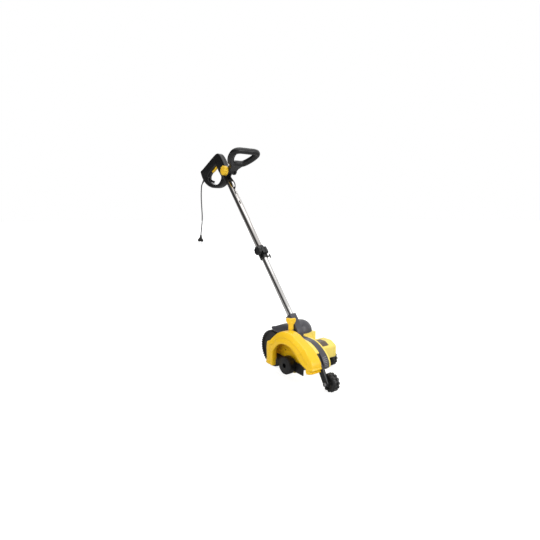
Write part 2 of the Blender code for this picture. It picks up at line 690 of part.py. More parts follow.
def core_outline():
    """Side view of the band and the far shell."""
    return core_foot() + [(CORE_NOSE[-1][0] - 0.016, CORE_BOTTOM_Z)] + core_nose(1.0) + core_rear()


def near_outline():
    """Side view of the near shell, which ends behind the front arm's pivot."""
    eye = arc(ARM_PIVOT.x, ARM_PIVOT.z, ARM_EYE_RADIUS + 0.002, -60, 20, 5)
    return core_foot() + [(0.300,
                           CORE_BOTTOM_Z - 0.008)] + eye + core_nose(NEAR_SHELL_FRONT_X) + core_rear()


def bearing_seat(name, low, high):
    """What a shell keeps round the arbor's bearing, and the bore in it."""
    keep = BEARING_RADIUS + GAP + BEARING_WALL
    x, z = BLADE_AXIS.x, BLADE_AXIS.z
    boss = rod(f"{name} boss", None, (x, low, z), (x, high, z), keep)
    return boss, rod(f"{name} bore", None, (x, low - 0.001, z), (x, high + 0.001, z), BEARING_RADIUS + GAP)


def near_shell():
    shell = slab("near_shell", YELLOW, [near_outline()], CORE_NEAR_Y, BAND_NEAR_Y - GAP)
    boss, bore = bearing_seat("near bearing", CORE_NEAR_Y, CORE_NEAR_Y + BEARING_WIDTH + 0.0004)
    pocket = slab("near pocket", None, [inset(near_outline(), WALL)], CORE_NEAR_Y + WALL,
                  BAND_NEAR_Y + 0.001)
    cut(pocket, boss)
    front, below = NEAR_SHELL_FRONT_X, ARM_PIVOT.z - 0.013
    window = [(front, 0.25), (front, below), (front - 0.046, below), (front - 0.075, 0.04), (0.45, 0.04),
              (0.45, 0.25)]
    opening = slab("arm window", None, [window], CORE_NEAR_Y + WALL, BAND_NEAR_Y + 0.001)
    stud = rod("stud hole", None, (*KNOB_AT.xy, CORE_TOP_Z - 0.01), (*KNOB_AT.xy, CORE_TOP_Z + 0.01),
               STUD_RADIUS + GAP)
    cut(shell, pocket, opening, bore, stud, pivot_hole("near pivot hole"))


def pivot_hole(name):
    x, z = ARM_PIVOT.x, ARM_PIVOT.z
    return rod(name, None, (x, CORE_NEAR_Y - 0.01, z), (x, BAND_FAR_Y, z), PIVOT_RADIUS + GAP)


def body_band():
    """Black band: a ring over the gears, with a web on its near side behind the front arm."""
    band = slab("body_band", BLACK, [core_outline()], BAND_NEAR_Y, BAND_FAR_Y)
    room = slab("band room", None, [inset(core_outline(), WALL)], BAND_NEAR_Y - 0.001, BAND_FAR_Y + 0.001)
    cut(room, box("band web", None, (WEB_FROM_X, -0.1, 0), (0.5, BAND_NEAR_Y + WALL, 0.3)))
    cut(band, room, pivot_hole("band pivot hole"))


def far_shell():
    shell = slab("far_shell", YELLOW, [core_outline()], BAND_FAR_Y + GAP, CORE_FAR_Y)
    seat_end = CORE_FAR_Y - WALL + GAP
    boss = bearing_seat("far bearing", seat_end - BEARING_WIDTH - GAP, seat_end)[0]
    pocket = slab("far pocket", None, [inset(core_outline(), WALL)], BAND_FAR_Y - 0.001, CORE_FAR_Y - WALL)
    cut(shell, pocket)
    join(shell, boss)
    bore = rod("far bearing bore", None, (BLADE_AXIS.x, -0.02, BLADE_AXIS.z),
               (BLADE_AXIS.x, seat_end, BLADE_AXIS.z),
               BEARING_RADIUS + GAP)
    shaft = rod("shaft hole", None, (MOTOR_AXIS.x, -0.02, MOTOR_AXIS.z), (MOTOR_AXIS.x, 0.03, MOTOR_AXIS.z),
                SHAFT_HOLE_RADIUS)
    cut(shell, bore, shaft)


def loft(name, finish, rows, skin):
    """A skin drawn from one row of points to the next, thickened inwards."""
    bm = bmesh.new()
    grid = [[bm.verts.new(spot) for spot in row] for row in rows]
    for near, far in zip(grid, grid[1:]):
        for k in range(len(near) - 1):
            bm.faces.new((near[k], near[k + 1], far[k + 1], far[k]))
    mesh = bpy.data.meshes.new(name)
    bm.to_mesh(mesh)
    bm.free()
    mesh.shade_smooth()
    obj = lay(name, mesh, finish)
    solid = obj.modifiers.new("skin", "SOLIDIFY")
    solid.thickness = skin
    solid.offset = -1
    return obj


def smooth_step(value, low, high):
    share = min(1.0, max(0.0, (value - low) / (high - low)))
    return share * share * (3 - 2 * share)


def blade_guard():
    """Guard: from its rim on the core's side out over a crease to the arch, whose edge turns in."""
    rim = through(GUARD_RIM, 2, closed=False)
    arch = through(GUARD_ARCH, 2, closed=False)
    rows = [[] for _ in range(6)]
    rim_y = CORE_NEAR_Y - GAP
    for (x, z), (arch_x, arch_z) in zip(rim, arch):
        toward = smooth_step(x, 0.20, 0.32)
        crease_y = GUARD_CREASE_REAR_Y + (GUARD_CREASE_NOSE_Y - GUARD_CREASE_REAR_Y) * toward
        drop = smooth_step(arch_x, 0.300, 0.350) if arch_z < 0.15 else 0.0
        stages = ((0, rim_y), (0.04, crease_y), (0.30, crease_y + (GUARD_FACE_Y - crease_y) * 0.7),
                  (0.65, crease_y + (GUARD_FACE_Y - crease_y) * 0.93), (1, GUARD_FACE_Y))
        for row, (share, y) in zip(rows, stages):
            row.append((x + (arch_x - x) * share, y, z + (arch_z - z) * share))
        turn_in = 0.006 + (GUARD_LIP_IN - 0.006) * drop
        rows[5].append((arch_x, GUARD_FACE_Y + turn_in, arch_z - GUARD_LIP_DROP * drop))
    return loft("blade_guard", YELLOW, rows, GUARD_SKIN)


def plate_outline():
    low = BLADE_AXIS.z
    bottom = [(0.310, low + 0.004)] + arc(BLADE_AXIS.x, BLADE_AXIS.z, COVER_RADIUS + 0.006, -20, -160,
                                          10) + [(0.130, low - 0.009)]
    return inset(through(GUARD_RIM, 2, closed=False) + bottom, GUARD_SKIN + 2 * GAP)


def chamber_plate():
    plate = slab("chamber_plate", YELLOW, [plate_outline()], PLATE_NEAR_Y, CORE_NEAR_Y - GAP)
    x, z, radius = PLATE_HOLE
    slot_x, slot_z, width, length = PLATE_SLOT
    near, far = PLATE_NEAR_Y - 0.01, CORE_NEAR_Y + 0.01
    half = width / 2
    slot = rounded([(slot_x + i * half, slot_z + j * length / 2, half * 0.9) for i,
                    j in ((-1, -1), (1, -1), (1, 1), (-1, 1))])
    shaft = rod("arbor hole", None, (BLADE_AXIS.x, near, BLADE_AXIS.z),
                (BLADE_AXIS.x, -0.0500, BLADE_AXIS.z), PLATE_BORE_RADIUS)
    cut(plate, shaft, rod("plate hole", None, (x, near, z), (x, far, z), radius, sides=16),
        slab("plate slot", None, [slot], near, far))
    ring("bearing_cover", BLACK, COVER_RADIUS, FLANGE_HUB_RADIUS + 0.0015, COVER_NEAR_Y, PLATE_NEAR_Y - GAP,
         BLADE_AXIS)


def blade_group():
    x, z = BLADE_AXIS.x, BLADE_AXIS.z
    bore = ARBOR_RADIUS + GAP
    half_length, half_height = BLADE_LENGTH / 2, BLADE_HEIGHT / 2
    tilt = Matrix.Rotation(-BLADE_TILT, 2)
    corners = rounded([(i * half_length, j * half_height, 0.004) for i, j in ((-1, -1), (1, -1), (1, 1),
            (-1, 1))], 2)
    bar = [tuple(BLADE_AXIS.xz + tilt @ Vector(corner)) for corner in corners]
    slab("edger_blade", DARK_STEEL, [bar, circle(x, z, bore)], BLADE_Y - BLADE_THICKNESS / 2, BLADE_BACK_Y,
         origin=BLADE_AXIS)
    back, face, wall, recess = HUB_BACK_Y, HUB_FACE_Y, HUB_WALL, HUB_RECESS_RADIUS
    seat = back - HUB_SEAT
    hole = BOLT_RADIUS + GAP
    outer = HUB_RADIUS
    turned("blade_hub", BLACK, (
        (outer, back), (outer, face + 0.007), (outer - 0.002, face + 0.002), (outer - 0.007, face),
        (recess + wall, face),
        (recess, face + 0.002), (recess, seat), (hole, seat), (hole, back), (recess + wall, back),
        (recess + wall, face + wall),
        (outer - 0.008, face + wall), (outer - wall, face + 0.008), (outer - wall, back)), BLADE_AXIS,
        closed=True)
    bolt = rod("blade_bolt", STEEL, (x, seat - GAP - BOLT_HEAD_HEIGHT, z), (x, seat - GAP, z),
               BOLT_HEAD_RADIUS, sides=6, origin=BLADE_AXIS)
    shaft_end = HUB_BACK_Y + GAP
    join(bolt, rod("bolt shank", None, (x, seat - GAP - 0.002, z), (x, shaft_end + BOLT_DEPTH - 0.001, z),
                   BOLT_RADIUS))
    flange_back = BLADE_BACK_Y + GAP
    hub_end = CORE_NEAR_Y - GAP
    turned("blade_flange", STEEL, (
        (FLANGE_HUB_RADIUS, hub_end), (FLANGE_HUB_RADIUS, flange_back + FLANGE_THICKNESS),
        (FLANGE_RADIUS, flange_back + FLANGE_THICKNESS), (FLANGE_RADIUS, flange_back), (bore, flange_back),
        (bore, hub_end)),
        BLADE_AXIS, closed=True)
    inner_end = CORE_FAR_Y - WALL - 0.0002
    turned("arbor_shaft", STEEL, (
        (0, inner_end), (ARBOR_RADIUS, inner_end), (ARBOR_RADIUS, shaft_end), (hole, shaft_end),
        (hole, shaft_end + BOLT_DEPTH), (0, shaft_end + BOLT_DEPTH)), BLADE_AXIS)
    ring("arbor_bearing_near", STEEL, BEARING_RADIUS, bore, CORE_NEAR_Y, CORE_NEAR_Y + BEARING_WIDTH,
         BLADE_AXIS, sides=20)
    ring("arbor_bearing_far", STEEL, BEARING_RADIUS, bore, inner_end - BEARING_WIDTH, inner_end, BLADE_AXIS,
         sides=20)
    gear_wheel("driven_gear", BLADE_AXIS, GEAR_TEETH, MOTOR_ANGLE, bore)


def gear_wheel(name, centre, teeth, start, bore):
    pitch_radius = MODULE * teeth / 2
    outline = toothed(centre.x, centre.z, pitch_radius + 0.8 * MODULE, pitch_radius - 1.25 * MODULE, teeth,
                      TOOTH_TIP_SHARE,
                      start, TOOTH_ROOT_SHARE)
    low, high = GEAR_Y - GEAR_WIDTH / 2, GEAR_Y + GEAR_WIDTH / 2
    slab(name, STEEL, [outline, circle(centre.x, centre.z, bore, 24)], low, high, origin=centre)


def motor():
    x, z = MOTOR_AXIS.x, MOTOR_AXIS.z
    bore = MOTOR_SHAFT_RADIUS + GAP
    outline = rounded(MOTOR_OUTLINE)
    inner = inset(outline, WALL)
    seat = SMALL_BEARING_RADIUS + GAP
    housing = slab("motor_housing", YELLOW, [outline], MOTOR_NEAR_Y, MOTOR_END_Y)
    room = slab("motor room", None, [inner], MOTOR_NEAR_Y + WALL, MOTOR_END_Y + 0.001)
    boss_end = MOTOR_NEAR_Y + WALL + SMALL_BEARING_WIDTH
    cut(room, rod("inner boss", None, (x, 0, z), (x, boss_end, z), seat + BEARING_WALL))
    cut(housing, room, rod("inner bearing bore", None, (x, MOTOR_NEAR_Y + WALL, z),
                           (x, boss_end + 0.001, z), seat),
        rod("inner shaft bore", None, (x, 0, z), (x, 0.03, z), MOTOR_SHAFT_RADIUS + 0.002))
    low = MOTOR_NEAR_Y + WALL + GAP
    ring("motor_bearing_inner", STEEL, SMALL_BEARING_RADIUS, bore, low, low + SMALL_BEARING_WIDTH,
         MOTOR_AXIS, sides=20)

    cap = slab("motor_end_cap", YELLOW, [outline], MOTOR_END_Y + GAP, CAP_END_Y)
    cap_floor = CAP_END_Y - WALL
    boss_from = MOTOR_END_Y - 0.012
    cut(cap, slab("cap room", None, [inner], MOTOR_END_Y - 0.001, cap_floor))
    join(cap, rod("outer boss", None, (x, boss_from, z), (x, cap_floor + 0.001, z), seat + BEARING_WALL))
    bearing_end = boss_from + GAP + SMALL_BEARING_WIDTH
    cut(cap, rod("outer bearing bore", None, (x, boss_from - 0.001, z), (x, bearing_end + GAP, z), seat))
    ring("motor_bearing_outer", STEEL, SMALL_BEARING_RADIUS, bore, bearing_end - SMALL_BEARING_WIDTH,
         bearing_end, MOTOR_AXIS, sides=20)
    rod("motor_shaft", STEEL, (x, GEAR_Y - GEAR_WIDTH / 2 - 0.0015, z), (x, bearing_end - GAP, z),
        MOTOR_SHAFT_RADIUS, origin=MOTOR_AXIS)
    pinion_pitch = 2 * math.pi / PINION_TEETH
    gear_wheel("motor_pinion", MOTOR_AXIS, PINION_TEETH, MOTOR_ANGLE + math.pi + pinion_pitch / 2, bore)
    slots = toothed(x, z, ROTOR_RADIUS, ROTOR_RADIUS - 0.008, ROTOR_SLOTS, 0.80, 0, 0.70)
    slab("rotor_core", DARK_STEEL, [slots, circle(x, z, bore, 24)], *STACK, origin=MOTOR_AXIS)
    ring("stator", DARK_STEEL, STATOR_RADIUS,
         ROTOR_RADIUS / math.cos(0.8 * math.pi / ROTOR_SLOTS) + AIR_GAP, *STACK, MOTOR_AXIS)
    ring("commutator", COPPER, COMMUTATOR_RADIUS, bore, *COMMUTATOR, MOTOR_AXIS, sides=24)
    fan = ring("cooling_fan", BLACK, FAN_RADIUS, bore, FAN[0], FAN[0] + 0.003, MOTOR_AXIS)
    vanes = toothed(x, z, FAN_RADIUS - 0.001, 0.010, FAN_BLADES, 0.10, 0, 0.40)
    join(fan, slab("fan vanes", None, [vanes, circle(x, z, bore + 0.001, 24)], FAN[0] + 0.001, FAN[1]))

    vent = box("vent_box", YELLOW, VENT_LOW, VENT_HIGH)
    wall = Vector((WALL, WALL, WALL))
    hollow = box("vent room", None, VENT_LOW + wall - Vector((0, 0, 0.02)), VENT_HIGH - wall)
    cut(vent, hollow, slab("motor clearance", None, [inset(outline, -GAP)], 0, MOTOR_END_Y))
    left, right, start, end = LABEL
    top = MOTOR_OUTLINE[3][1] + GAP
    box("rating_plate", LABEL_GREY, (left, start, top), (right, end, top + LABEL_THICKNESS))


def mudguard_solid(skin, end, below):
    """The mudguard's outside as a closed solid, or its inside: thinner by the skin, shorter, deeper."""
    rings = []
    for k, (x, crown, half, drop) in enumerate(MUDGUARD):
        edge, rise, half = 2 * REAR_RADIUS + crown - drop, max(drop - skin, 0.0004), half - skin
        x += end if k == 0 else -end if k == len(MUDGUARD) - 1 else 0
        arc = [math.pi * step / 9 for step in range(10)]
        ring = [(x, -half * math.cos(angle), edge + rise * math.sin(angle)) for angle in arc]
        rings.append(ring + [(x, half, edge - 0.001 - below), (x, -half, edge - 0.001 - below)])
    bm = bmesh.new()
    loops = [[bm.verts.new(spot) for spot in ring] for ring in rings]
    for one, other in zip(loops, loops[1:]):
        for k in range(len(one)):
            bm.faces.new((one[k - 1], one[k], other[k], other[k - 1]))
    bm.faces.new(loops[0])
    bm.faces.new(loops[-1][::-1])
    bmesh.ops.recalc_face_normals(bm, faces=bm.faces)
    return mesh_of(bm, "mudguard")


def top_cover():
    """Hood: dome, mudguard over the big wheel, the wing knob's boss, and the tube's socket."""
    base = CORE_TOP_Z + GAP
    bm = bmesh.new()
    bmesh.ops.create_uvsphere(bm, u_segments=24, v_segments=12, radius=1)
    bmesh.ops.transform(bm, matrix=Matrix.Translation(DOME_CENTRE) @ Matrix.Diagonal((*DOME_RADII, 1)),
                        verts=bm.verts)
    cover = lay("top_cover", mesh_of(bm, "top_cover"), BLACK)
    bm = bmesh.new()
    bmesh.ops.create_uvsphere(bm, u_segments=24, v_segments=12, radius=1)
    inner = DOME_RADII - Vector((DOME_WALL, DOME_WALL, DOME_WALL))
    bmesh.ops.transform(bm, matrix=Matrix.Translation(DOME_CENTRE) @ Matrix.Diagonal((*inner, 1)),
                        verts=bm.verts)
    room = lay("dome room", mesh_of(bm, "dome room"), None)
    cut(cover, box("under the dome", None, (0, -0.2, 0.1), (0.3, 0.2, base)))
    mudguard = lay("mudguard", mudguard_solid(0, 0, 0), None)
    cut(mudguard, box("core's room", None, (CORE_REAR_X - GAP, -0.2, 0.1), (0.3, 0.2, base)))
    hollow = lay("mudguard room", mudguard_solid(MUDGUARD_SKIN, MUDGUARD_END, 0.02), None)
    left, right, near, far = DECK
    beside = box("beside the guard", None, (-0.1, -0.2, 0.1), (0.3, CORE_NEAR_Y, 0.4))
    deck = box("deck", None, (left, near, base), (right, far, base + DECK_THICKNESS))
    boss = rod("knob boss", None, (*KNOB_AT.xy, base), (*KNOB_AT.xy, KNOB_BOSS_TOP_Z), KNOB_BOSS_RADIUS)
    knee = TUBE_FOOT + TUBE_ALONG * SOCKET_BEND
    turned = SOCKET_BEND_RADIUS * math.tan(TUBE_LEAN / 2)
    bend = [(knee.x, 0, base)]
    for k in range(5):
        angle = TUBE_LEAN * k / 4
        bend.append((knee.x - SOCKET_BEND_RADIUS * (1 - math.cos(angle)), 0,
                     knee.z - turned + SOCKET_BEND_RADIUS * math.sin(angle)))
    top = tuple(TUBE_FOOT + TUBE_ALONG * SOCKET_TOP)
    socket = tube("socket", None, bend + [top], SOCKET_RADIUS, resolution=4)
    join(cover, mudguard)
    cut(cover, room, hollow)
    join(cover, deck, boss, socket)
    bore = rod("tube bore", None, (0, 0, LOWER_TUBE[0] - GAP), (0, 0, SOCKET_TOP + 0.02),
               LOWER_TUBE_RADIUS + GAP, parent=TUBE)
    stud = rod("stud bore", None, (*KNOB_AT.xy, 0.19), (*KNOB_AT.xy, KNOB_BOSS_TOP_Z + 0.01),
               STUD_RADIUS + GAP)
    cut(cover, beside, bore, stud)


def depth_knob():
    """Wing knob over the front arm's tail, and its stud, which passes through the tail's slot."""
    foot = KNOB_BOSS_TOP_Z + GAP
    neck = foot + KNOB_STEM
    top = neck + KNOB_HEAD
    wide, half = KNOB_HEAD_HALF_WIDTH, KNOB_STEM_RADIUS
    head = rounded(((-half, neck - 0.002, 0.003), (half, neck - 0.002, 0.003), (wide, top - 0.014, 0.006),
                    (wide, top, 0.005),
                    (0, top - 0.003, 0.003), (-wide, top, 0.005), (-wide, top - 0.014, 0.006)))
    knob = slab("depth_knob", YELLOW, [head], -KNOB_HEAD_HALF_THICKNESS, KNOB_HEAD_HALF_THICKNESS)
    knob.location = KNOB_AT
    knob.rotation_euler = (0, 0, KNOB_TURN)
    join(knob, rod("knob stem", None, (*KNOB_AT.xy, foot), (*KNOB_AT.xy, neck + 0.006), KNOB_STEM_RADIUS))
    cut(knob, rod("knob bore", None, (*KNOB_AT.xy, foot - 0.001), (*KNOB_AT.xy, foot + STUD_IN_KNOB),
                  STUD_RADIUS + GAP))
    rod("depth_stud", STEEL, (*KNOB_AT.xy, STUD_FOOT_Z), (*KNOB_AT.xy, foot + STUD_IN_KNOB - GAP),
        STUD_RADIUS, origin=KNOB_AT)


def front_arm():
    """Arm of the front wheel, with a slotted tail that the wing knob's stud sets up or down."""
    down = FRONT_WHEEL - ARM_PIVOT
    side = math.degrees(math.atan2(down.z, down.x)) - 90
    slot = STUD_RADIUS + ARM_SLOT_PLAY
    left, right = KNOB_AT.x - slot - 0.003, KNOB_AT.x + slot + 0.003
    top, low = ARM_TAIL_Z + ARM_TAIL_HALF, ARM_TAIL_Z - ARM_TAIL_HALF
    outline = ([(right, top), (left, top), (left, low), (right, low)] + arc(ARM_PIVOT.x, ARM_PIVOT.z,
            ARM_EYE_RADIUS, side + 356, side + 360, 1)
               + arc(FRONT_WHEEL.x, FRONT_WHEEL.z, ARM_HUB_RADIUS, side, side + 180, 9)
               + arc(ARM_PIVOT.x, ARM_PIVOT.z, ARM_EYE_RADIUS, side + 180, 92, 4))
    arm = slab("front_arm", BLACK, [outline], ARM_NEAR_Y, ARM_FAR_Y, origin=(ARM_PIVOT.x, 0, ARM_PIVOT.z))
    wheel_face = FRONT_WHEEL.y - SMALL_WIDTH / 2 - GAP
    x, z = FRONT_WHEEL.x, FRONT_WHEEL.z
    join(arm, rod("arm spacer", None, (x, ARM_FAR_Y - 0.003, z), (x, wheel_face, z), 0.0085))
    half = STUD_RADIUS + GAP
    cut(arm, box("tail slot", None, (KNOB_AT.x - slot, KNOB_AT.y - half, low - 0.01),
                 (KNOB_AT.x + slot, KNOB_AT.y + half, top + 0.01)))
    cut(arm, rod("arm axle bore", None, (x, -0.1, z), (x, 0.1, z), SMALL_AXLE_RADIUS + GAP),
        pivot_hole("arm pivot hole"))
    near, far = ARM_NEAR_Y - GAP, FRONT_WHEEL.y + SMALL_WIDTH / 2 + GAP
    shank = SMALL_AXLE_RADIUS
    turned("front_axle", STEEL, ((0, far + 0.005), (0.007, far + 0.005), (0.007, far), (shank, far),
                                 (shank, near), (0.009, near),
                                 (0.009, near - 0.004), (0, near - 0.004)), (x, 0, z))
    web = BAND_NEAR_Y + WALL + GAP
    turned("arm_pivot", STEEL, ((0, web + 0.0045), (0.0075, web + 0.0045), (0.0075, web),
                                (PIVOT_RADIUS, web),
                                (PIVOT_RADIUS, CORE_NEAR_Y), (0, CORE_NEAR_Y)),
                                (ARM_PIVOT.x, 0, ARM_PIVOT.z))


def tubes():
    for name, radius, (low, high) in (("lower_tube", LOWER_TUBE_RADIUS, LOWER_TUBE),
                                      ("upper_tube", UPPER_TUBE_RADIUS, UPPER_TUBE)):
        ring(name, CHROME, radius, radius - TUBE_WALL, low, high, (0, 0, 0), axis="Z", parent=TUBE)


def clamp():
    """Collar on the upper tube's foot, pinched on the lower tube by a bolt and a lobed knob."""
    low, high = COLLAR
    narrow, wide = LOWER_TUBE_RADIUS + GAP, UPPER_TUBE_RADIUS + GAP
    collar = turned("clamp_collar", BLACK, (
        (COLLAR_RADIUS, high), (COLLAR_RADIUS, low), (narrow, low), (narrow, COLLAR_STEP),
        (wide, COLLAR_STEP), (wide, high)),
        (0, 0, 0), axis="Z", closed=True, parent=TUBE)
    front, along = CLAMP_BOLT
    half = CLAMP_EAR_HALF_WIDTH
    ears = box("clamp ears", None, (UPPER_TUBE_RADIUS + 0.0015, -half, COLLAR_EARS[0]),
               (front + 0.0085, half, COLLAR_EARS[1]), parent=TUBE)
    slit = box("clamp slit", None, (0.010, -COLLAR_SLIT / 2, low - 0.01),
               (0.05, COLLAR_SLIT / 2, COLLAR_EARS[1] + 0.004), parent=TUBE)
    hole = rod("clamp bolt hole", None, (front, -0.05, along), (front, 0.05, along),
               CLAMP_BOLT_RADIUS + GAP, parent=TUBE)
    join(collar, ears)
    cut(collar, slit, hole)
    centre = (front, 0, along)
    foot = -half - GAP
    knob_end = foot - CLAMP_NECK - CLAMP_KNOB_DEPTH
    lobes = lobed(front, along, CLAMP_KNOB_RADIUS, CLAMP_LOBES, 0.09)
    knob = slab("clamp_knob", BLACK, [lobes], knob_end, foot - CLAMP_NECK, edge=0.002, origin=centre,
                parent=TUBE)
    join(knob, rod("clamp neck", None, (front, foot - CLAMP_NECK - 0.004, along), (front, foot, along),
                   CLAMP_NECK_RADIUS, parent=TUBE))
    cut(knob, rod("clamp knob bore", None, (front, knob_end + 0.007, along), (front, 0, along),
                  CLAMP_BOLT_RADIUS + GAP, parent=TUBE))
    head = half + GAP
    bolt = rod("clamp_bolt", STEEL, (front, head, along), (front, head + 0.004, along), 0.006, sides=6,
               parent=TUBE)
    join(bolt, rod("clamp shank", None, (front, knob_end + 0.008, along), (front, head + 0.001, along),
                   CLAMP_BOLT_RADIUS, parent=TUBE))
    base = COLLAR_RADIUS + GAP
    tip = base + PEG_LENGTH
    peg = rod("cord_peg", BLACK, (0, base, PEG_AT), (0, tip, PEG_AT), 0.0035, 0.0028, sides=12, parent=TUBE)
    join(peg, rod("peg cross", None, (-0.0015, tip - 0.002, PEG_AT - 0.009),
                  (0.0015, tip - 0.002, PEG_AT + 0.009), 0.0024, sides=12, parent=TUBE))


def lobed(x, z, radius, lobes, depth, steps=4):
    """A round outline with shallow scallops."""
    count = lobes * steps
    angles = [2 * math.pi * k / count for k in range(count)]
    reach = [radius * (1 - depth * (0.5 - 0.5 * math.cos(lobes * a))) for a in angles]
    return [(x + r * math.cos(a), z + r * math.sin(a)) for r, a in zip(reach, angles)]


def rear_handle():
    """Both halves of the loop handle: one outline, hollow, round the tube's top, split at the middle."""
    outer, hole = through(HANDLE_OUTER, 2), through(HANDLE_HOLE, 2)
    deep = HANDLE_HALF_WIDTH - HANDLE_WALL
    room = slab("handle room", None, [inset(outer, HANDLE_WALL), inset(hole, -HANDLE_WALL)], -deep, deep)
    keep = rod("tube seat", None, (0, 0, SLEEVE[0] - 0.03), (0, 0, SLEEVE[1] + 0.004), SLEEVE_RADIUS,
               parent=TUBE)
    lug = rod("lug core", None, (AUX_PIVOT.x, -0.05, AUX_PIVOT.z), (AUX_PIVOT.x, 0.05, AUX_PIVOT.z),
              AUX_BOLT_RADIUS + 0.005)
    cut(room, keep, lug)
    bore = rod("upper tube bore", None, (0, 0, SLEEVE[0] - 0.01), (0, 0, UPPER_TUBE[1] + GAP),
               UPPER_TUBE_RADIUS + GAP, parent=TUBE)
    bolt = rod("aux bolt hole", None, (AUX_PIVOT.x, -0.1, AUX_PIVOT.z), (AUX_PIVOT.x, 0.1, AUX_PIVOT.z),
               AUX_BOLT_RADIUS + GAP)
    trigger_slot = slab("trigger slot", None, [TRIGGER_SLOT], -TRIGGER_HALF_WIDTH - GAP,
                        TRIGGER_HALF_WIDTH + GAP)
    exit_hole = rod("cord hole", None, CORD_EXIT - CORD_LEAVES * 0.012, CORD_EXIT + CORD_LEAVES * 0.02,
                    RELIEF_RADIUS + GAP)
    lead_hole = rod("lead hole", None, (LEAD_FRONT, 0, LEAD_TOP - 0.018), (LEAD_FRONT, 0, LEAD_TOP + GAP),
                    LEAD_RADIUS + GAP, parent=TUBE)
    button = rod("button hole", None, (BUTTON_AT[0], 0.005, BUTTON_AT[1]),
                 (BUTTON_AT[0], 0.03, BUTTON_AT[1]), BUTTON_RADIUS + GAP)
    for name, side in (("handle_near", -1), ("handle_far", 1)):
        half = slab(name, BLACK, [outer, hole], -HANDLE_HALF_WIDTH, HANDLE_HALF_WIDTH, edge=HANDLE_ROUND)
        join(half, rod(f"{name} sleeve", None, (0, 0, SLEEVE[0]), (0, 0, SLEEVE[1]), SLEEVE_RADIUS,
                       parent=TUBE))
        cut(half, room, bore, bolt, trigger_slot, exit_hole, lead_hole)
        if side < 0:
            join(half, slab("hook", None, [through(HOOK, 2)], -HOOK_HALF_WIDTH - 0.001, -0.001))
        else:
            cut(half, button)
        low, high = sorted((-side * 0.1, side * GAP / 2))
        cut(half, box(f"{name} other half", None, (-1, low, 0.8), (0, high, 1.3)))
    switch_half = Vector((SWITCH_SIZE.x, 2 * (deep - GAP), SWITCH_SIZE.z)) / 2
    box("power_switch", BLACK, SWITCH_CENTRE - switch_half, SWITCH_CENTRE + switch_half, turn=GRIP_SLOPE)


def controls():
    pivot = TRIGGER_PIVOT
    trigger = slab("trigger", YELLOW, [TRIGGER_OUTLINE], -TRIGGER_HALF_WIDTH, TRIGGER_HALF_WIDTH,
                   edge=0.001, origin=pivot)
    reach = HANDLE_HALF_WIDTH - HANDLE_WALL - GAP
    join(trigger, rod("trigger pin", None, (pivot.x, -reach, pivot.z), (pivot.x, reach, pivot.z),
                      TRIGGER_PIN_RADIUS, sides=16))
    x, z = BUTTON_AT
    end = HANDLE_HALF_WIDTH + BUTTON_STAND
    rod("lock_button", YELLOW, (x, end - BUTTON_LENGTH, z), (x, end, z), BUTTON_RADIUS, sides=24,
        origin=(x, end, z))


def aux_handle():
    """D handle on the rear handle's lug, held by a bolt and a lobed knob."""
    grip = through([(u, y, 0) for u, y in AUX_LOOP], 2)
    curve = bpy.data.curves.new("aux loop", "CURVE")
    curve.dimensions = "3D"
    curve.bevel_depth = AUX_GRIP_RADIUS
    curve.bevel_resolution = 2
    spline = curve.splines.new("POLY")
    spline.points.add(len(grip) - 1)
    for spot, place in zip(spline.points, grip):
        spot.co = (*place, 1)
    spline.use_cyclic_u = True
    handle = lay("aux_handle", mesh_of_curve("aux_handle", curve, Matrix.Identity(4)), BLACK, parent=AUX)
    half = AUX_HALF_WIDTH
    stem = [(0.004, -half), (0.045, -half + 0.002), (0.085, -half - 0.001), (0.085, half + 0.001),
            (0.045, half - 0.002), (0.004, half)]
    join(handle, slab("aux stem", None, [stem], -AUX_STEM_HALF, AUX_STEM_HALF, way=PLAN, edge=0.003,
                      parent=AUX))
    join(handle, rod("aux hub", None, (0, -half, 0), (0, half, 0), AUX_HUB_RADIUS, parent=AUX))
    inner = HANDLE_HALF_WIDTH + 0.0008
    clear = slab("aux fork", None, [circle(0, 0, LUG_CLEARANCE)], -inner, inner, parent=AUX)
    hole = rod("aux hole", None, (0, -0.1, 0), (0, 0.1, 0), AUX_BOLT_RADIUS + GAP, parent=AUX)
    cut(handle, clear, hole)
    knob_foot = -half - GAP
    knob_end = knob_foot - AUX_KNOB_DEPTH
    lobes = lobed(0, 0, AUX_KNOB_RADIUS, AUX_LOBES, 0.05)
    knob = slab("aux_knob", YELLOW, [lobes], knob_end, knob_foot, edge=0.003, parent=AUX)
    cut(knob, rod("aux knob bore", None, (0, knob_end + 0.007, 0), (0, 0, 0), AUX_BOLT_RADIUS + GAP,
                  parent=AUX))
    head = half + GAP
    bolt = rod("aux_bolt", STEEL, (0, head, 0), (0, head + 0.005, 0), 0.008, sides=6, parent=AUX)
    join(bolt, rod("aux shank", None, (0, knob_end + 0.008, 0), (0, head + 0.001, 0), AUX_BOLT_RADIUS,
                   parent=AUX))


def lead_in_tube():
    """Short cable from the handle into the front of the upper tube, and its grommet."""
    surface = UPPER_TUBE_RADIUS + GAP
    rod("cable_grommet", RUBBER, (surface, 0, GROMMET_AT), (surface + GROMMET_LENGTH, 0, GROMMET_AT),
        GROMMET_RADIUS,
        GROMMET_RADIUS - 0.0015, sides=20, parent=TUBE)
    end = surface + GROMMET_LENGTH + 2 * GAP
    route = [(LEAD_FRONT + out, 0, LEAD_TOP - down) for out, down in LEAD_SWING] + [(end + 0.004, 0,
            GROMMET_AT)]
    tube("lead_cable", RUBBER, through(route, 2, closed=False) + [(end, 0, GROMMET_AT)], LEAD_RADIUS,
         parent=TUBE)


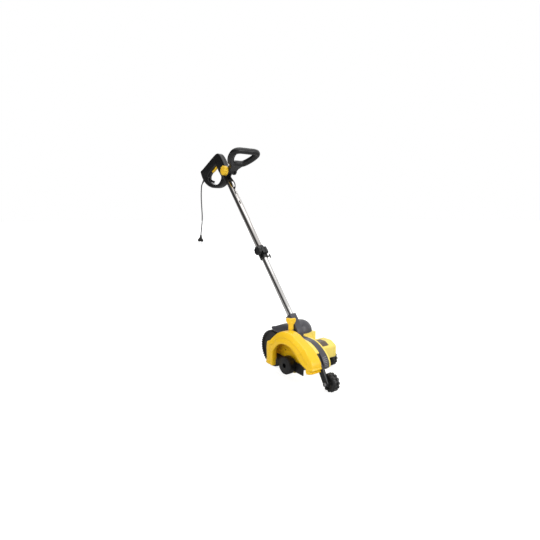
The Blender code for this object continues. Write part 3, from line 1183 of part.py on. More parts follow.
def cord_and_plug():
    start = CORD_EXIT + CORD_LEAVES * RELIEF_LENGTH
    rod("strain_relief", RUBBER, CORD_EXIT - CORD_LEAVES * RELIEF_IN, start, RELIEF_RADIUS,
        CORD_RADIUS + 0.0009, sides=20)
    first = start + CORD_LEAVES * GAP
    bend = [first + CORD_LEAVES * 0.004, first + CORD_LEAVES * 0.014, *CORD_ROUTE,
            PLUG_TOP - PLUG_DOWN * 0.016,
            PLUG_TOP - PLUG_DOWN * 0.004]
    tube("cord", RUBBER, [first, *through([tuple(spot) for spot in bend], 3, closed=False), PLUG_TOP],
         CORD_RADIUS)
    half, shoulder = PLUG_WIDTH / 2, -PLUG_COLLAR
    top, bottom = -GAP, -GAP - PLUG_LENGTH
    outline = rounded(((-0.0062, top, 0.001), (-0.0072, shoulder + 0.006, 0.003),
                       (-half, shoulder - 0.004, 0.003), (-half, bottom, 0.003),
                       (half, bottom, 0.003), (half, shoulder - 0.004, 0.003),
                       (0.0072, shoulder + 0.006, 0.003), (0.0062, top, 0.001)), 2)
    plug = slab("plug", RUBBER, [outline], -PLUG_DEPTH / 2, PLUG_DEPTH / 2, edge=0.002, parent=PLUG)
    for name, x in (("plug_pin_left", -PIN_SPACING / 2), ("plug_pin_right", PIN_SPACING / 2)):
        cut(plug, rod(f"{name} hole", None, (x, 0, bottom - 0.01), (x, 0, bottom + 0.005), PIN_RADIUS + GAP,
                      sides=16, parent=PLUG))
        rod(name, STEEL, (x, 0, bottom - PIN_LENGTH), (x, 0, bottom + 0.005 - GAP), PIN_RADIUS, sides=16,
            parent=PLUG)


def plug_frame():
    """An empty at the plug's top whose Z points back up the cord and whose X runs along the row of pins."""
    up = -PLUG_DOWN
    across = Vector((math.cos(PLUG_TURN), math.sin(PLUG_TURN), 0))
    across = (across - up * across.dot(up)).normalized()
    empty = bpy.data.objects.new("plug_frame", None)
    PARTS.objects.link(empty)
    empty.location = PLUG_TOP
    empty.rotation_euler = Matrix((across, up.cross(across), up)).transposed().to_euler()
    return empty


TUBE = frame("tube_frame", TUBE_FOOT, TUBE_LEAN)
AUX = frame("aux_frame", AUX_PIVOT, AUX_LEAN)
PLUG = plug_frame()
rear_wheel()
rear_fork()
small_wheel("front_wheel", FRONT_WHEEL)
small_wheel("left_wheel", LEFT_WHEEL)
left_bracket()
near_shell()
body_band()
far_shell()
blade_guard()
chamber_plate()
blade_group()
motor()
top_cover()
depth_knob()
front_arm()
tubes()
clamp()
rear_handle()
controls()
aux_handle()
lead_in_tube()
cord_and_plug()
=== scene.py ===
# %% [markdown]
# An electric lawn edger. A bar blade stands upright in a yellow guard at the right of a small geared
# motor, and cuts the edge of a lawn. Three wheels carry it, a wing knob sets the depth, and a
# telescopic tube leads up to a loop handle with the trigger and a D handle for the other hand.
# The CAD model gives every place and size. This script gives each piece its fine shape and finish.

# %% Load the CAD model
import json
import math

import bmesh
import bpy
from mathutils import Matrix, Vector
from mathutils.geometry import interpolate_bezier
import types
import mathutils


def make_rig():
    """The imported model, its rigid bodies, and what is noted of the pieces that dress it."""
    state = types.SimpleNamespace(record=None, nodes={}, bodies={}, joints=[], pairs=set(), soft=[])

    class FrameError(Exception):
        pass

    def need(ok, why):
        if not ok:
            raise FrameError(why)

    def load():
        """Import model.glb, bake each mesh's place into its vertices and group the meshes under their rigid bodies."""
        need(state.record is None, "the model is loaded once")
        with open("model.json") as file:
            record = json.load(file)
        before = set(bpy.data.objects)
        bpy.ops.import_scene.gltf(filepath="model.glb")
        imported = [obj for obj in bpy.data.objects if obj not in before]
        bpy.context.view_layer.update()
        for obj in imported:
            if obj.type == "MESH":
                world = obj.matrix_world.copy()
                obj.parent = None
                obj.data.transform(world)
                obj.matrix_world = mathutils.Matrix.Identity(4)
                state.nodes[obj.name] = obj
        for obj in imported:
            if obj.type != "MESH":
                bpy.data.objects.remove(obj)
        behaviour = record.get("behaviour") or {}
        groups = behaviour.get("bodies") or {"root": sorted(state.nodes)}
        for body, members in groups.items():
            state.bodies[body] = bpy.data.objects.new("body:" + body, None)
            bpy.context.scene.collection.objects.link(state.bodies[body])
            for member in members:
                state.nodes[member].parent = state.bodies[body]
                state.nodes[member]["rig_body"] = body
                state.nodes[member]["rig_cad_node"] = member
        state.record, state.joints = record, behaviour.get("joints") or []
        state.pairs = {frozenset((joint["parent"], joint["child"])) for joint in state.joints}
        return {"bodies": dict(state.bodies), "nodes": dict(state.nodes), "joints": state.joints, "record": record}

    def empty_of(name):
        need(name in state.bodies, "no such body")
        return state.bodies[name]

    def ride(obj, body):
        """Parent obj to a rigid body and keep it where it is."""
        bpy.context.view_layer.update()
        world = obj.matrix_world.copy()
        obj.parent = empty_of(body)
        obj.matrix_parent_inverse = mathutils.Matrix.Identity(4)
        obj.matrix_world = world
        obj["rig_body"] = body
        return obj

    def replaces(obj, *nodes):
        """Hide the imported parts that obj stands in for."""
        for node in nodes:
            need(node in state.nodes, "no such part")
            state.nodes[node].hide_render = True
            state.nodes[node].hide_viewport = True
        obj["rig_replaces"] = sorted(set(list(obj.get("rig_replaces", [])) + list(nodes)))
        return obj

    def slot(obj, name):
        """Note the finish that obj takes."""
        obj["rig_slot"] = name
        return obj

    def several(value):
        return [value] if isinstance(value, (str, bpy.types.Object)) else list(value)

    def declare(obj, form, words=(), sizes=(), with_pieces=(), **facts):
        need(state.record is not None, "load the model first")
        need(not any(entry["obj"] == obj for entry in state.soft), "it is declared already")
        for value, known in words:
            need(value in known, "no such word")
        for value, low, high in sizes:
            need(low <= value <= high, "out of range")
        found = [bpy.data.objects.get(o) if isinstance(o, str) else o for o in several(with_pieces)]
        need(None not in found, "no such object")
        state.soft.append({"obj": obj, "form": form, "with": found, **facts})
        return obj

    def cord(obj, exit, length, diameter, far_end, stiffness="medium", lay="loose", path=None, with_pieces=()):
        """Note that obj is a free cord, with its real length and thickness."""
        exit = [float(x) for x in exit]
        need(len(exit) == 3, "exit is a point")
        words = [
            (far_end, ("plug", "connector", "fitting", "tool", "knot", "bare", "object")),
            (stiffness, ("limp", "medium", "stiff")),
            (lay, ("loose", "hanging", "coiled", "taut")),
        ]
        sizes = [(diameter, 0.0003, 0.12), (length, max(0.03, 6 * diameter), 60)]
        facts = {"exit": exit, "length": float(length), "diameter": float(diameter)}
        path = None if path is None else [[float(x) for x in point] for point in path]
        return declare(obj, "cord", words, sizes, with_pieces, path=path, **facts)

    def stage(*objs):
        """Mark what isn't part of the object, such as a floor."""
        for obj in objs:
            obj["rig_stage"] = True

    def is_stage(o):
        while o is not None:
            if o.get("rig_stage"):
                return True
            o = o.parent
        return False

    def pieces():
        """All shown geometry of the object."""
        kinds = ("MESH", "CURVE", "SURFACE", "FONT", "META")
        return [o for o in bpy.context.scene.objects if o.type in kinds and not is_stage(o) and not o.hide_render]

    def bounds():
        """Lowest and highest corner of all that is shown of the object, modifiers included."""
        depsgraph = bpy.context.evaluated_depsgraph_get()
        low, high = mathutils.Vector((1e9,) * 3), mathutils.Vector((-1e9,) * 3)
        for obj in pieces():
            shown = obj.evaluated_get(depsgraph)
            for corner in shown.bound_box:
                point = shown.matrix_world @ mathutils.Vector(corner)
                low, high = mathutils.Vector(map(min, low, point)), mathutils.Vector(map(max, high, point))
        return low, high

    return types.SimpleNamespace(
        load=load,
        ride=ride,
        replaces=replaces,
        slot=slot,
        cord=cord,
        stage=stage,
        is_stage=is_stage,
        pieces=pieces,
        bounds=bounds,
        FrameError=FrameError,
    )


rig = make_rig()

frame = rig.load()
cad_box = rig.bounds()
print("bodies:", ", ".join(frame["bodies"]))

# %% [markdown]
# The photograph was taken from the front right, a little above the machine and looking slightly
# down. A short lens from close by makes the handles look small and the guard large, so the camera's
# place matters more here than its lens.

# %% Camera
CAMERA_DOWN, CAMERA_TURN = 7.6, 52.4  # degrees below level, and from +Y towards -X
camera = bpy.data.objects.new("camera", bpy.data.cameras.new("camera"))
bpy.context.scene.collection.objects.link(camera)
camera.location = (1.6876, -1.3324, 0.790)
camera.rotation_euler = (math.radians(90 - CAMERA_DOWN), 0, math.radians(CAMERA_TURN))
camera.data.lens = 28.4
bpy.context.scene.camera = camera
bpy.context.scene.view_settings.view_transform = "Standard"
print("camera", round(camera.location.length, 2), "m from the rear wheel's foot")


# %% [markdown]
# Colours are picked as sRGB hex values, as a paint program shows them. Blender's shaders want linear
# light, so one function turns a hex value into that, and another adds a node with its settings.

# %% Colour and node helpers
def colour(hex_value):
    """Linear RGBA of an sRGB hex colour."""
    parts = [int(hex_value[i:i + 2], 16) / 255 for i in (1, 3, 5)]
    return (*[c / 12.92 if c <= 0.04045 else ((c + 0.055) / 1.055) ** 2.4 for c in parts], 1.0)


def add(tree, kind, links=None, **settings):
    """A node with its settings, and links from other nodes' outputs into its inputs."""
    made = tree.nodes.new(kind)
    for name, value in settings.items():
        if hasattr(made, name):
            setattr(made, name, value)
        else:
            made.inputs[name.replace("_", " ")].default_value = value
    for socket, source in (links or {}).items():
        tree.links.new(source, made.inputs[socket])
    return made


print("middle grey in linear light:", round(colour("#808080")[0], 3))

# %% [markdown]
# The floor is a photographer's white sweep. To the camera it glows, a little less close to the
# machine, so that it is as white as the photograph's and still takes a soft shadow.

# %% Floor
CORNERS = ((-1, -1), (1, -1), (1, 1), (-1, 1))
FLOOR_HALF, FLOOR_Z = 40, -0.0006  # the sheet lies just under the wheels
GLOW_NEAR, GLOW_FAR = 0.6, 2.4  # m from the machine: the glow grows between these
floor_mesh = bpy.data.meshes.new("floor")
floor_mesh.from_pydata([(i * FLOOR_HALF, j * FLOOR_HALF, FLOOR_Z) for i, j in CORNERS], [], [(0, 1, 2, 3)])
floor = bpy.data.objects.new("floor", floor_mesh)
bpy.context.scene.collection.objects.link(floor)
paper = bpy.data.materials.new("white paper sweep")
paper.use_nodes = True
sheet = paper.node_tree
shader = sheet.nodes["Principled BSDF"]
shader.inputs["Base Color"].default_value = colour("#b4b4b4")
shader.inputs["Roughness"].default_value = 0.9
shader.inputs["Emission Color"].default_value = (1, 1, 1, 1)
spot = add(sheet, "ShaderNodeTexCoord")
away = add(sheet, "ShaderNodeVectorMath", {0: spot.outputs["Object"]}, operation="LENGTH")
glow = add(sheet, "ShaderNodeMapRange", {"Value": away.outputs["Value"]}, From_Min=GLOW_NEAR,
           From_Max=GLOW_FAR, To_Min=0.80, To_Max=1.0)
eye = add(sheet, "ShaderNodeLightPath").outputs["Is Camera Ray"]
by_eye = add(sheet, "ShaderNodeMath", {0: glow.outputs[0], 1: eye}, operation="MULTIPLY")
sheet.links.new(by_eye.outputs[0], shader.inputs["Emission Strength"])
floor_mesh.materials.append(paper)
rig.stage(floor)
print("floor", 2 * FLOOR_HALF, "m wide")

# %% [markdown]
# The camera sees a plain white room. What the metal and the gloss mirror is one gradient, bright
# above and behind the machine and dark on the camera's side: it draws the dark streak down the
# tube and keeps black plastic black. Large soft boxes shape the object, and the key light, which
# would lie as a grey veil on the near sides, is hidden from mirrors.

# %% World and lamps
BRIGHT_SIDE = Vector((0.25, 0.55, 0.80)).normalized()
DARK_ROOM, DIFFUSE_ROOM = 0.06, 0.78  # its darkest side in a mirror, and its light on matt surfaces
world = bpy.data.worlds.new("studio")
bpy.context.scene.world = world
world.use_nodes = True
sky = world.node_tree
rays = add(sky, "ShaderNodeLightPath").outputs
seen = add(sky, "ShaderNodeMath", {0: rays["Is Camera Ray"], 1: rays["Is Transmission Ray"]},
           operation="MAXIMUM")
look_at = add(sky, "ShaderNodeTexCoord")
bright_side = add(sky, "ShaderNodeVectorMath", {0: look_at.outputs["Generated"]}, operation="DOT_PRODUCT")
bright_side.inputs[1].default_value = BRIGHT_SIDE
room = add(sky, "ShaderNodeMapRange", {"Value": bright_side.outputs["Value"]}, From_Min=0.10, From_Max=0.55,
           To_Min=DARK_ROOM, To_Max=1.0)
mirrored = add(sky, "ShaderNodeMix", {"Factor": rays["Is Glossy Ray"], "B": room.outputs[0]}, A=DIFFUSE_ROOM)
final = add(sky, "ShaderNodeMath", {0: mirrored.outputs[0], 1: seen.outputs[0]}, operation="MAXIMUM")
backdrop = sky.nodes["Background"]
backdrop.inputs["Color"].default_value = (1, 1, 1, 1)
sky.links.new(final.outputs[0], backdrop.inputs["Strength"])

SOFT_BOXES = (  # name, place, aims at, size in m, power in W, whether mirrors show it
    ("key", (0.9, -2.8, 1.5), (0.0, 0.0, 0.3), 2.4, 26, False),
    ("top", (0.3, 0.2, 3.3), (0.0, 0.0, 0.4), 2.4, 24, True),
    ("front", (2.8, 0.9, 1.3), (0.1, 0.0, 0.3), 1.6, 26, True),
    ("rim", (-2.2, 1.6, 2.2), (0.0, 0.0, 0.5), 1.4, 12, True),
)
for name, place, aim, size, power, shows in SOFT_BOXES:
    lamp = bpy.data.lights.new(name, "AREA")
    lamp.energy, lamp.size = power, size
    holder = bpy.data.objects.new(name, lamp)
    bpy.context.scene.collection.objects.link(holder)
    holder.location = place
    holder.rotation_euler = (Vector(aim) - Vector(place)).to_track_quat("-Z", "Y").to_euler()
    holder.visible_glossy = shows
print("lamps:", ", ".join(box[0] for box in SOFT_BOXES))


# %% [markdown]
# No surface here is one flat value: moulded plastic has a fine grain and a faint unevenness of
# gloss, and handled metal has clouds on it. One function lays that down, with the grain's size and
# depth in millimetres, and the finishes differ in its numbers. Real mould grain is 0.1 to 0.3 mm.
# It is drawn at 0.5 mm and up, because a finer one would only flicker from where the camera stands.

# %% Plastics
PATCHES = 22.0  # of more or less gloss in a metre, so each is about 45 mm across


def finish(slot, name, base, roughness, metallic=0.0, grain_mm=0.8, grain_depth=0.02, shade=0.06,
           uneven=0.06):
    """A material with a fine grain, uneven gloss and a slight change of tone, and its slot's name."""
    made = bpy.data.materials.new(name)
    made.use_nodes = True
    tree = made.node_tree
    shader = tree.nodes["Principled BSDF"]
    shader.inputs["Metallic"].default_value = metallic
    place = add(tree, "ShaderNodeTexCoord").outputs["Object"]
    patches = add(tree, "ShaderNodeTexNoise", {"Vector": place}, Scale=PATCHES, Detail=4.0).outputs["Fac"]
    tone = add(tree, "ShaderNodeMapRange", {"Value": patches}, From_Min=0.3, From_Max=0.7, To_Min=1 - shade,
               To_Max=1 + shade)
    value = add(tree, "ShaderNodeHueSaturation", {"Value": tone.outputs[0]})
    value.inputs["Color"].default_value = colour(base)
    tree.links.new(value.outputs[0], shader.inputs["Base Color"])
    gloss = add(tree, "ShaderNodeMapRange", {"Value": patches}, From_Min=0.3, From_Max=0.7,
                To_Min=max(0.02, roughness - uneven), To_Max=roughness + uneven)
    tree.links.new(gloss.outputs[0], shader.inputs["Roughness"])
    grain = add(tree, "ShaderNodeTexNoise", {"Vector": place}, Scale=1000 / grain_mm, Detail=2.0)
    bump = add(tree, "ShaderNodeBump", {"Height": grain.outputs["Fac"]}, Strength=1.0,
               Distance=grain_depth / 1000)
    tree.links.new(bump.outputs[0], shader.inputs["Normal"])
    return made, slot


# The guard's ABS, coloured through, from a polished tool: a long clear highlight over the crown, and
# a grain, drawn at 1.6 mm, so shallow that it only takes the hardness off that highlight.
YELLOW = finish("yellow plastic", "yellow ABS, polished tool", "#f8c71c", 0.26, grain_mm=1.6,
                grain_depth=0.012, shade=0.03)
# The motor's side and the shells: satin-tooled yellow ABS whose colour is painted paler, a painted
# light standing for the stronger light on their lit sides. A wide pale sheen on its flat tops, grain 1.2 mm.
YELLOW_PAINTED_PALER = finish("yellow plastic", "yellow ABS, satin tool, painted paler", "#f7de6a", 0.30, grain_mm=1.2,
                     grain_depth=0.015, shade=0.03)
# Knobs are etched to be gripped: no clear reflection, a dense 0.7 mm grain and dull lit edges.
YELLOW_GRIP = finish("yellow plastic", "yellow ABS, etched tool", "#f7c92a", 0.40, grain_mm=0.7,
                     grain_depth=0.03, shade=0.04)
# The hood and the band, of black ABS with an etched 0.9 mm grain, look a soft blue slate in the light.
SLATE = finish("black plastic", "black ABS, etched tool", "#434248", 0.32, grain_mm=0.9, grain_depth=0.03)
# The handles' nylon is a true black, with only a narrow sheen along its rounded rims. Grain 0.8 mm.
BLACK = finish("black plastic", "black nylon, etched tool", "#121213", 0.34, grain_mm=0.8, grain_depth=0.02)
# Knobs and dish of a duller black nylon: even the rims hardly light up. Grain 0.8 mm.
PITCH = finish("black plastic", "black nylon, satin", "#101011", 0.46, grain_mm=0.8, grain_depth=0.02)
print("plastics:", YELLOW[0].name, "to", PITCH[0].name)

# %% [markdown]
# Rubber swallows light and metal gives back the room. The two tubes differ in how sharply: the
# lower one is a satin chrome, the upper one nearly a mirror.

# %% Rubber and metals
# Wheels, plug and glands: charcoal rather than black, the lighter colour a painted sheen; no highlight
# but a dull bloom, mottled by 1.2 mm pits.
RUBBER = finish("black rubber", "black rubber, moulded", "#232322", 0.46, grain_mm=1.2, grain_depth=0.05,
                shade=0.12)
# The cord's sheath: smoother than the rubber, so a thin line of light runs down it. Grain 0.6 mm.
PVC = finish("black rubber", "black PVC flex", "#242424", 0.42, grain_mm=0.6, grain_depth=0.01)
# Drawn and chromed tube: broad soft bands from white to dark. Its 6 mm waves only bend them a little.
CHROME = finish("bright tube", "chromed steel tube", "#d2d0ce", 0.18, 1.0, grain_mm=6.0, grain_depth=0.0008,
                uneven=0.02)
# The upper tube's nickel is warmer and sharper: one black streak beside one white one. Waves of 6 mm.
CHROME_DARK = finish("bright tube", "nickel-plated steel tube", "#cbc7c4", 0.10, 1.0, grain_mm=6.0,
                     grain_depth=0.0008, uneven=0.02)
# Turned bolts, axles and bearings: mid grey, with small hard glints. Tool marks drawn at 0.5 mm.
STEEL = finish("steel", "turned steel", "#a9a9ab", 0.30, 1.0, grain_mm=0.5, grain_depth=0.006)
# The blade's blued and oiled sheet: almost black, with a low brownish sheen, clouded at 1.4 mm.
BLADE_STEEL = finish("dark steel", "blued spring steel", "#1a191b", 0.42, 0.3, grain_mm=1.4, grain_depth=0.02,
                     shade=0.10)
# Stacked motor iron and a bent bracket: dark and dull, 0.6 mm of lamination to the eye.
IRON = finish("dark steel", "laminated iron", "#4b4a4c", 0.50, 1.0, grain_mm=0.6, grain_depth=0.01)
# The commutator's bars: warm, bright where the brushes run. Turning marks drawn at 0.5 mm.
COPPER = finish("copper", "turned copper", "#c27a4e", 0.32, 1.0, grain_mm=0.5, grain_depth=0.006)
# The casing's plate is a brown satin foil: flat, and duller than the plastic round it. Grain 0.9 mm.
PLATE = finish("plain plate", "bare satin foil", "#5a4d3f", 0.40, grain_mm=0.9, grain_depth=0.008)
# The depth scale's marks stand in pale matt grey on the black band. Grain 0.8 mm.
SCALE_GREY = finish("plain plate", "grey moulded scale", "#a3a19f", 0.45, grain_mm=0.8, grain_depth=0.01)
print("rubber and metals:", RUBBER[0].name, "to", SCALE_GREY[0].name)


# %% [markdown]
# The cord comes out of the rear handle and hangs straight down to a flat two-pin plug. It is made
# as a curve, because a curve's own line is the real cord's centre line. The route's points were
# chosen along the photographed cord.

# %% The cord
def through(points, per_span=6, closed=True):
    """A smooth line through the points."""
    spots = [Vector((*point, 0)[:3]) for point in points]
    count = len(spots)
    line = []
    for k in range(count if closed else count - 1):
        before = spots[k - 1] if closed or k else spots[0]
        after = spots[(k + 2) % count] if closed or k + 2 < count else spots[-1]
        here, there = spots[k], spots[(k + 1) % count]
        pull, push = here + (there - before) / 6, there - (after - here) / 6
        line += interpolate_bezier(here, pull, push, there, per_span + 1)[:-1]
    if not closed:
        line.append(spots[-1])
    return [tuple(spot)[:len(points[0])] for spot in line]


def length_of(line):
    return sum((Vector(b) - Vector(a)).length for a, b in zip(line, line[1:]))


def scratch(name, data):
    """An object in the scene, at the origin."""
    obj = bpy.data.objects.new(name, data)
    bpy.context.scene.collection.objects.link(obj)
    return obj


def cable(name, line, radius, look, body, *replaced):
    """A round cable as a curve."""
    curve = bpy.data.curves.new(name, "CURVE")
    curve.dimensions = "3D"
    curve.bevel_depth = radius
    curve.bevel_resolution = 6
    curve.use_fill_caps = True
    spline = curve.splines.new("POLY")
    spline.points.add(len(line) - 1)
    for spot, where in zip(spline.points, line):
        spot.co = (*where, 1)
    spline.use_smooth = True
    curve.materials.append(look[0])
    obj = scratch(name, curve)
    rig.ride(obj, body)
    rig.slot(obj, look[1])
    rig.replaces(obj, *replaced)
    print(name, round(length_of(line), 3), "m")
    return obj


CORD_EXIT = Vector((-0.7130, 0.0, 1.0020))
CORD_LEAVES = Vector((-0.72, 0.0, -0.69)).normalized()
RELIEF_REACH = 0.0343  # from the exit to where the cord comes free
PLUG_TOP = Vector((-0.7755, 0.0, 0.6500))
PLUG_DOWN = Vector((-0.180, 0.0, -0.984)).normalized()
CORD_RADIUS = 0.0034
cord_start = CORD_EXIT + CORD_LEAVES * RELIEF_REACH
bend = [cord_start + CORD_LEAVES * 0.004, cord_start + CORD_LEAVES * 0.014, (-0.7545, 0.0, 0.9540),
        (-0.7595, 0.0, 0.9180), (-0.7605, 0.0, 0.8780), (-0.7565, 0.0, 0.8220), (-0.7530, 0.0, 0.7740),
        (-0.7570, 0.0, 0.7300), (-0.7665, 0.0, 0.6890), PLUG_TOP - PLUG_DOWN * 0.016,
        PLUG_TOP - PLUG_DOWN * 0.004]
CORD_LINE = [tuple(cord_start), *through([tuple(spot) for spot in bend], 3, closed=False), tuple(PLUG_TOP)]
cord = cable("cord", CORD_LINE, CORD_RADIUS, PVC, "upper", "cord")


# %% [markdown]
# The strain relief is the first turned piece: a profile of radii and heights, spun round an axis. A
# piece is a mesh whose object stays at the origin. It gets its finish, smooth shading that breaks at
# real edges, and the CAD body that it moves with.

# %% Strain relief
ROUND = 72


def mesh_from(bm, name, recalculate=True):
    """The mesh of a bmesh, by default with its faces turned outwards."""
    if recalculate:
        bmesh.ops.recalc_face_normals(bm, faces=bm.faces)
    mesh = bpy.data.meshes.new(name)
    bm.to_mesh(mesh)
    bm.free()
    return mesh


def turned(name, profile, matrix, steps=ROUND):
    """A closed profile of (radius, height) points turned round the Z axis of a matrix."""
    bm = bmesh.new()
    angles = [2 * math.pi * k / steps for k in range(steps)]
    rows = []
    for radius, height in profile:
        spots = [(radius * math.cos(a), radius * math.sin(a), height) for a in angles]
        rows.append([bm.verts.new(spot) for spot in (spots if radius else [(0, 0, height)])])
    for here, there in zip(rows, rows[1:] + rows[:1]):
        if len(here) == len(there) == 1:
            continue
        for k in range(steps):
            j = (k + 1) % steps
            if len(here) == 1:
                bm.faces.new((here[0], there[j], there[k]))
            elif len(there) == 1:
                bm.faces.new((here[k], here[j], there[0]))
            else:
                bm.faces.new((here[k], here[j], there[j], there[k]))
    bmesh.ops.transform(bm, matrix=matrix, verts=bm.verts)
    return mesh_from(bm, name)


def place(name, mesh, look, body, *replaced, smooth=35):
    """A mesh as a finished piece, riding on a body and standing for the named CAD nodes."""
    obj = scratch(name, mesh)
    mesh.materials.clear()
    mesh.materials.append(look[0])
    mesh.shade_smooth()
    mesh.set_sharp_from_angle(angle=math.radians(smooth))
    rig.ride(obj, body)
    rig.slot(obj, look[1])
    if replaced:
        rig.replaces(obj, *replaced)
    print(name, len(mesh.polygons), "faces")
    return obj


GROOVES, GROOVE_PITCH, GROOVE_DEEP = 6, 0.0042, 0.0009  # they let the relief bend with the cord
relief = [(0, -0.006), (0.0065, -0.006), (0.0065, 0.002), (0.0072, 0.0025), (0.0072, 0.0045),
          (0.0062, 0.0050)]
for k in range(GROOVES):
    height, radius = 0.0065 + k * GROOVE_PITCH, 0.0062 - k * 0.00032
    relief += [(radius, height), (radius, height + 0.0022), (radius - GROOVE_DEEP, height + 0.0025),
               (radius - GROOVE_DEEP, height + 0.0036)]
relief += [(0.0043, 0.0335), (0.0040, 0.0340), (0, 0.0340)]
to_exit = Matrix.Translation(CORD_EXIT) @ CORD_LEAVES.to_track_quat("Z", "Y").to_matrix().to_4x4()
place("cord_relief", turned("cord_relief", relief, to_exit, 32), RUBBER, "upper", "strain_relief")


# %% [markdown]
# The plug is a loft: closed rows of points, skinned from one to the next. It widens from a round
# neck to a flat, squarish body, and two pins with insulated roots stand in its end.

# %% Plug and pins
def lofted(name, rows, wrap=False):
    """Closed rows of points skinned one to the next, with flat ends, or the last on to the first."""
    bm = bmesh.new()
    rings = [[bm.verts.new(spot) for spot in row] for row in rows]
    for here, there in zip(rings, rings[1:] + (rings[:1] if wrap else [])):
        for k in range(len(here)):
            j = (k + 1) % len(here)
            bm.faces.new((here[k], here[j], there[j], there[k]))
    if not wrap:
        bm.faces.new(rings[0][::-1])
        bm.faces.new(rings[-1])
    return mesh_from(bm, name)


def axes(side, out):
    """A turn that takes +X to side and +Z to out."""
    return Matrix((side, out.cross(side), out)).transposed()


def drum(radius, low, high):
    """The profile of a plain cylinder."""
    return [(0, low), (radius, low), (radius, high), (0, high)]


PLUG_TURN = math.radians(52)  # of its flat side, from +X
PLUG_SHAPE = (  # height, half width, half depth
    (-0.0003, 0.0052, 0.0048), (-0.004, 0.0062, 0.0054), (-0.014, 0.0070, 0.0058),
    (-0.021, 0.0098, 0.0062), (-0.027, 0.0156, 0.0067), (-0.031, 0.0181, 0.0068),
    (-0.0395, 0.0185, 0.0068), (-0.0418, 0.0180, 0.0064), (-0.0423, 0.0168, 0.0056),
)
across = Vector((math.cos(PLUG_TURN), math.sin(PLUG_TURN), 0))
across = (across + PLUG_DOWN * across.dot(-PLUG_DOWN)).normalized()
AT_PLUG = Matrix.Translation(PLUG_TOP) @ axes(across, -PLUG_DOWN).to_4x4()
circle = [(math.cos(2 * math.pi * k / 32), math.sin(2 * math.pi * k / 32)) for k in range(32)]
squarish = [(math.copysign(abs(c) ** 0.75, c), math.copysign(abs(s) ** 0.8, s)) for c, s in circle]
plug_rows = [[AT_PLUG @ Vector((half * c, deep * s, height)) for c, s in squarish]
             for height, half, deep in PLUG_SHAPE]
plug = place("plug_body", lofted("plug_body", plug_rows), RUBBER, "upper", "plug", smooth=50)
pins = []
for name, x in (("plug_pin_left", -0.0093), ("plug_pin_right", 0.0093)):
    at = AT_PLUG @ Matrix.Translation((x, 0, -0.0423))
    sleeve = turned(name, drum(0.0020, 0.004, -0.009), at, 24)
    tip = turned(name, [(0, -0.009), (0.0019, -0.009), (0.0019, -0.0175), (0.0013, -0.0189), (0, -0.0190)],
                 at, 24)
    pins.append(place(f"{name}_tip", tip, STEEL, "upper", name))
    pins.append(place(f"{name}_sleeve", sleeve, RUBBER, "upper"))
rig.cord(cord, exit=CORD_LINE[0], length=length_of(CORD_LINE), diameter=2 * CORD_RADIUS, far_end="plug",
        stiffness="medium", lay="hanging", with_pieces=[plug, *pins])

# %% [markdown]
# The tube leans back from the socket. A frame of its own, with Z along the tube and X to its front,
# lets the pieces on it be placed by how far up the tube they are. The first is the short cable that
# leaves the rear handle and goes into the upper tube through a grommet.

# %% The tube's own frame, and the short cable into it
TUBE_LEAN = math.radians(39.04)
TUBE = Matrix.Translation((0.195, 0.0, 0.205)) @ Matrix.Rotation(-TUBE_LEAN, 4, "Y")
UPPER_RADIUS, GAP = 0.0175, 0.0003
GROMMET_HEIGHT, GROMMET_AT = 0.0050, 0.921
LEAD_FRONT, LEAD_TOP, LEAD_RADIUS = 0.0262, 1.013, 0.0030
lead_end = UPPER_RADIUS + GAP + GROMMET_HEIGHT + 0.0006
drops = ((0, 0), (0, 0.013), (0.003, 0.033), (0.008, 0.058), (0.009, 0.078))  # out, and down from its top
lead_route = [(LEAD_FRONT + out, 0, LEAD_TOP - down) for out, down in drops]
lead_route.append((lead_end + 0.004, 0, GROMMET_AT))
lead_route = through(lead_route, 3, closed=False) + [(lead_end, 0, GROMMET_AT)]
LEAD_LINE = [tuple(TUBE @ Vector(spot)) for spot in lead_route]
lead = cable("lead_cable", LEAD_LINE, LEAD_RADIUS, PVC, "upper", "lead_cable")
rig.cord(lead, exit=LEAD_LINE[0], length=length_of(LEAD_LINE), diameter=2 * LEAD_RADIUS, far_end="object",
        stiffness="medium", lay="hanging")
grommet = [(0, 0), (0.0062, 0), (0.0062, 0.0018), (0.0050, 0.0024), (0.0050, 0.0032), (0.0055, 0.0036),
           (0.0046, GROMMET_HEIGHT), (0, GROMMET_HEIGHT)]
at_grommet = TUBE @ Matrix.Translation((UPPER_RADIUS + GAP, 0, GROMMET_AT))
at_grommet = at_grommet @ Matrix.Rotation(math.pi / 2, 4, "Y")
place("cable_grommet", turned("cable_grommet", grommet, at_grommet, 32), RUBBER, "upper", "cable_grommet")

# %% [markdown]
# Both tubes are thin walls with a hair of a chamfer at each end, so that their rims catch light.

# %% Tubes
TUBE_WALL, CHAMFER = 0.0012, 0.0003
TUBES = (("lower_tube", 0.0160, 0.030, 0.707, CHROME, "machine_body"),
         ("upper_tube", UPPER_RADIUS, 0.4873, 1.075, CHROME_DARK, "upper"))
for name, radius, low, high, look, body in TUBES:
    inner = radius - TUBE_WALL
    profile = [(inner, low), (radius - CHAMFER, low), (radius, low + 0.0005), (radius, high - 0.0005),
               (radius - CHAMFER, high), (inner, high)]
    place(name, turned(name, profile, TUBE), look, body, name)


# %% [markdown]
# The clamp halfway up needs the other ways of making: a flat outline with rounded rims, and solids
# joined or cut with Booleans. Its collar is turned, gets two ears for the bolt, and is then slit.

# %% Clamp collar
SIDE = Matrix(((1, 0, 0, 0), (0, 0, -1, 0), (0, 1, 0, 0), (0, 0, 0, 1)))  # outlines in X and Z
PLAN = Matrix.Identity(4)  # outlines in X and Y


def settled(obj):
    """The mesh that an object shows, its modifiers applied; the object goes."""
    mesh = bpy.data.meshes.new_from_object(obj.evaluated_get(bpy.context.evaluated_depsgraph_get()))
    bpy.data.objects.remove(obj)
    return mesh


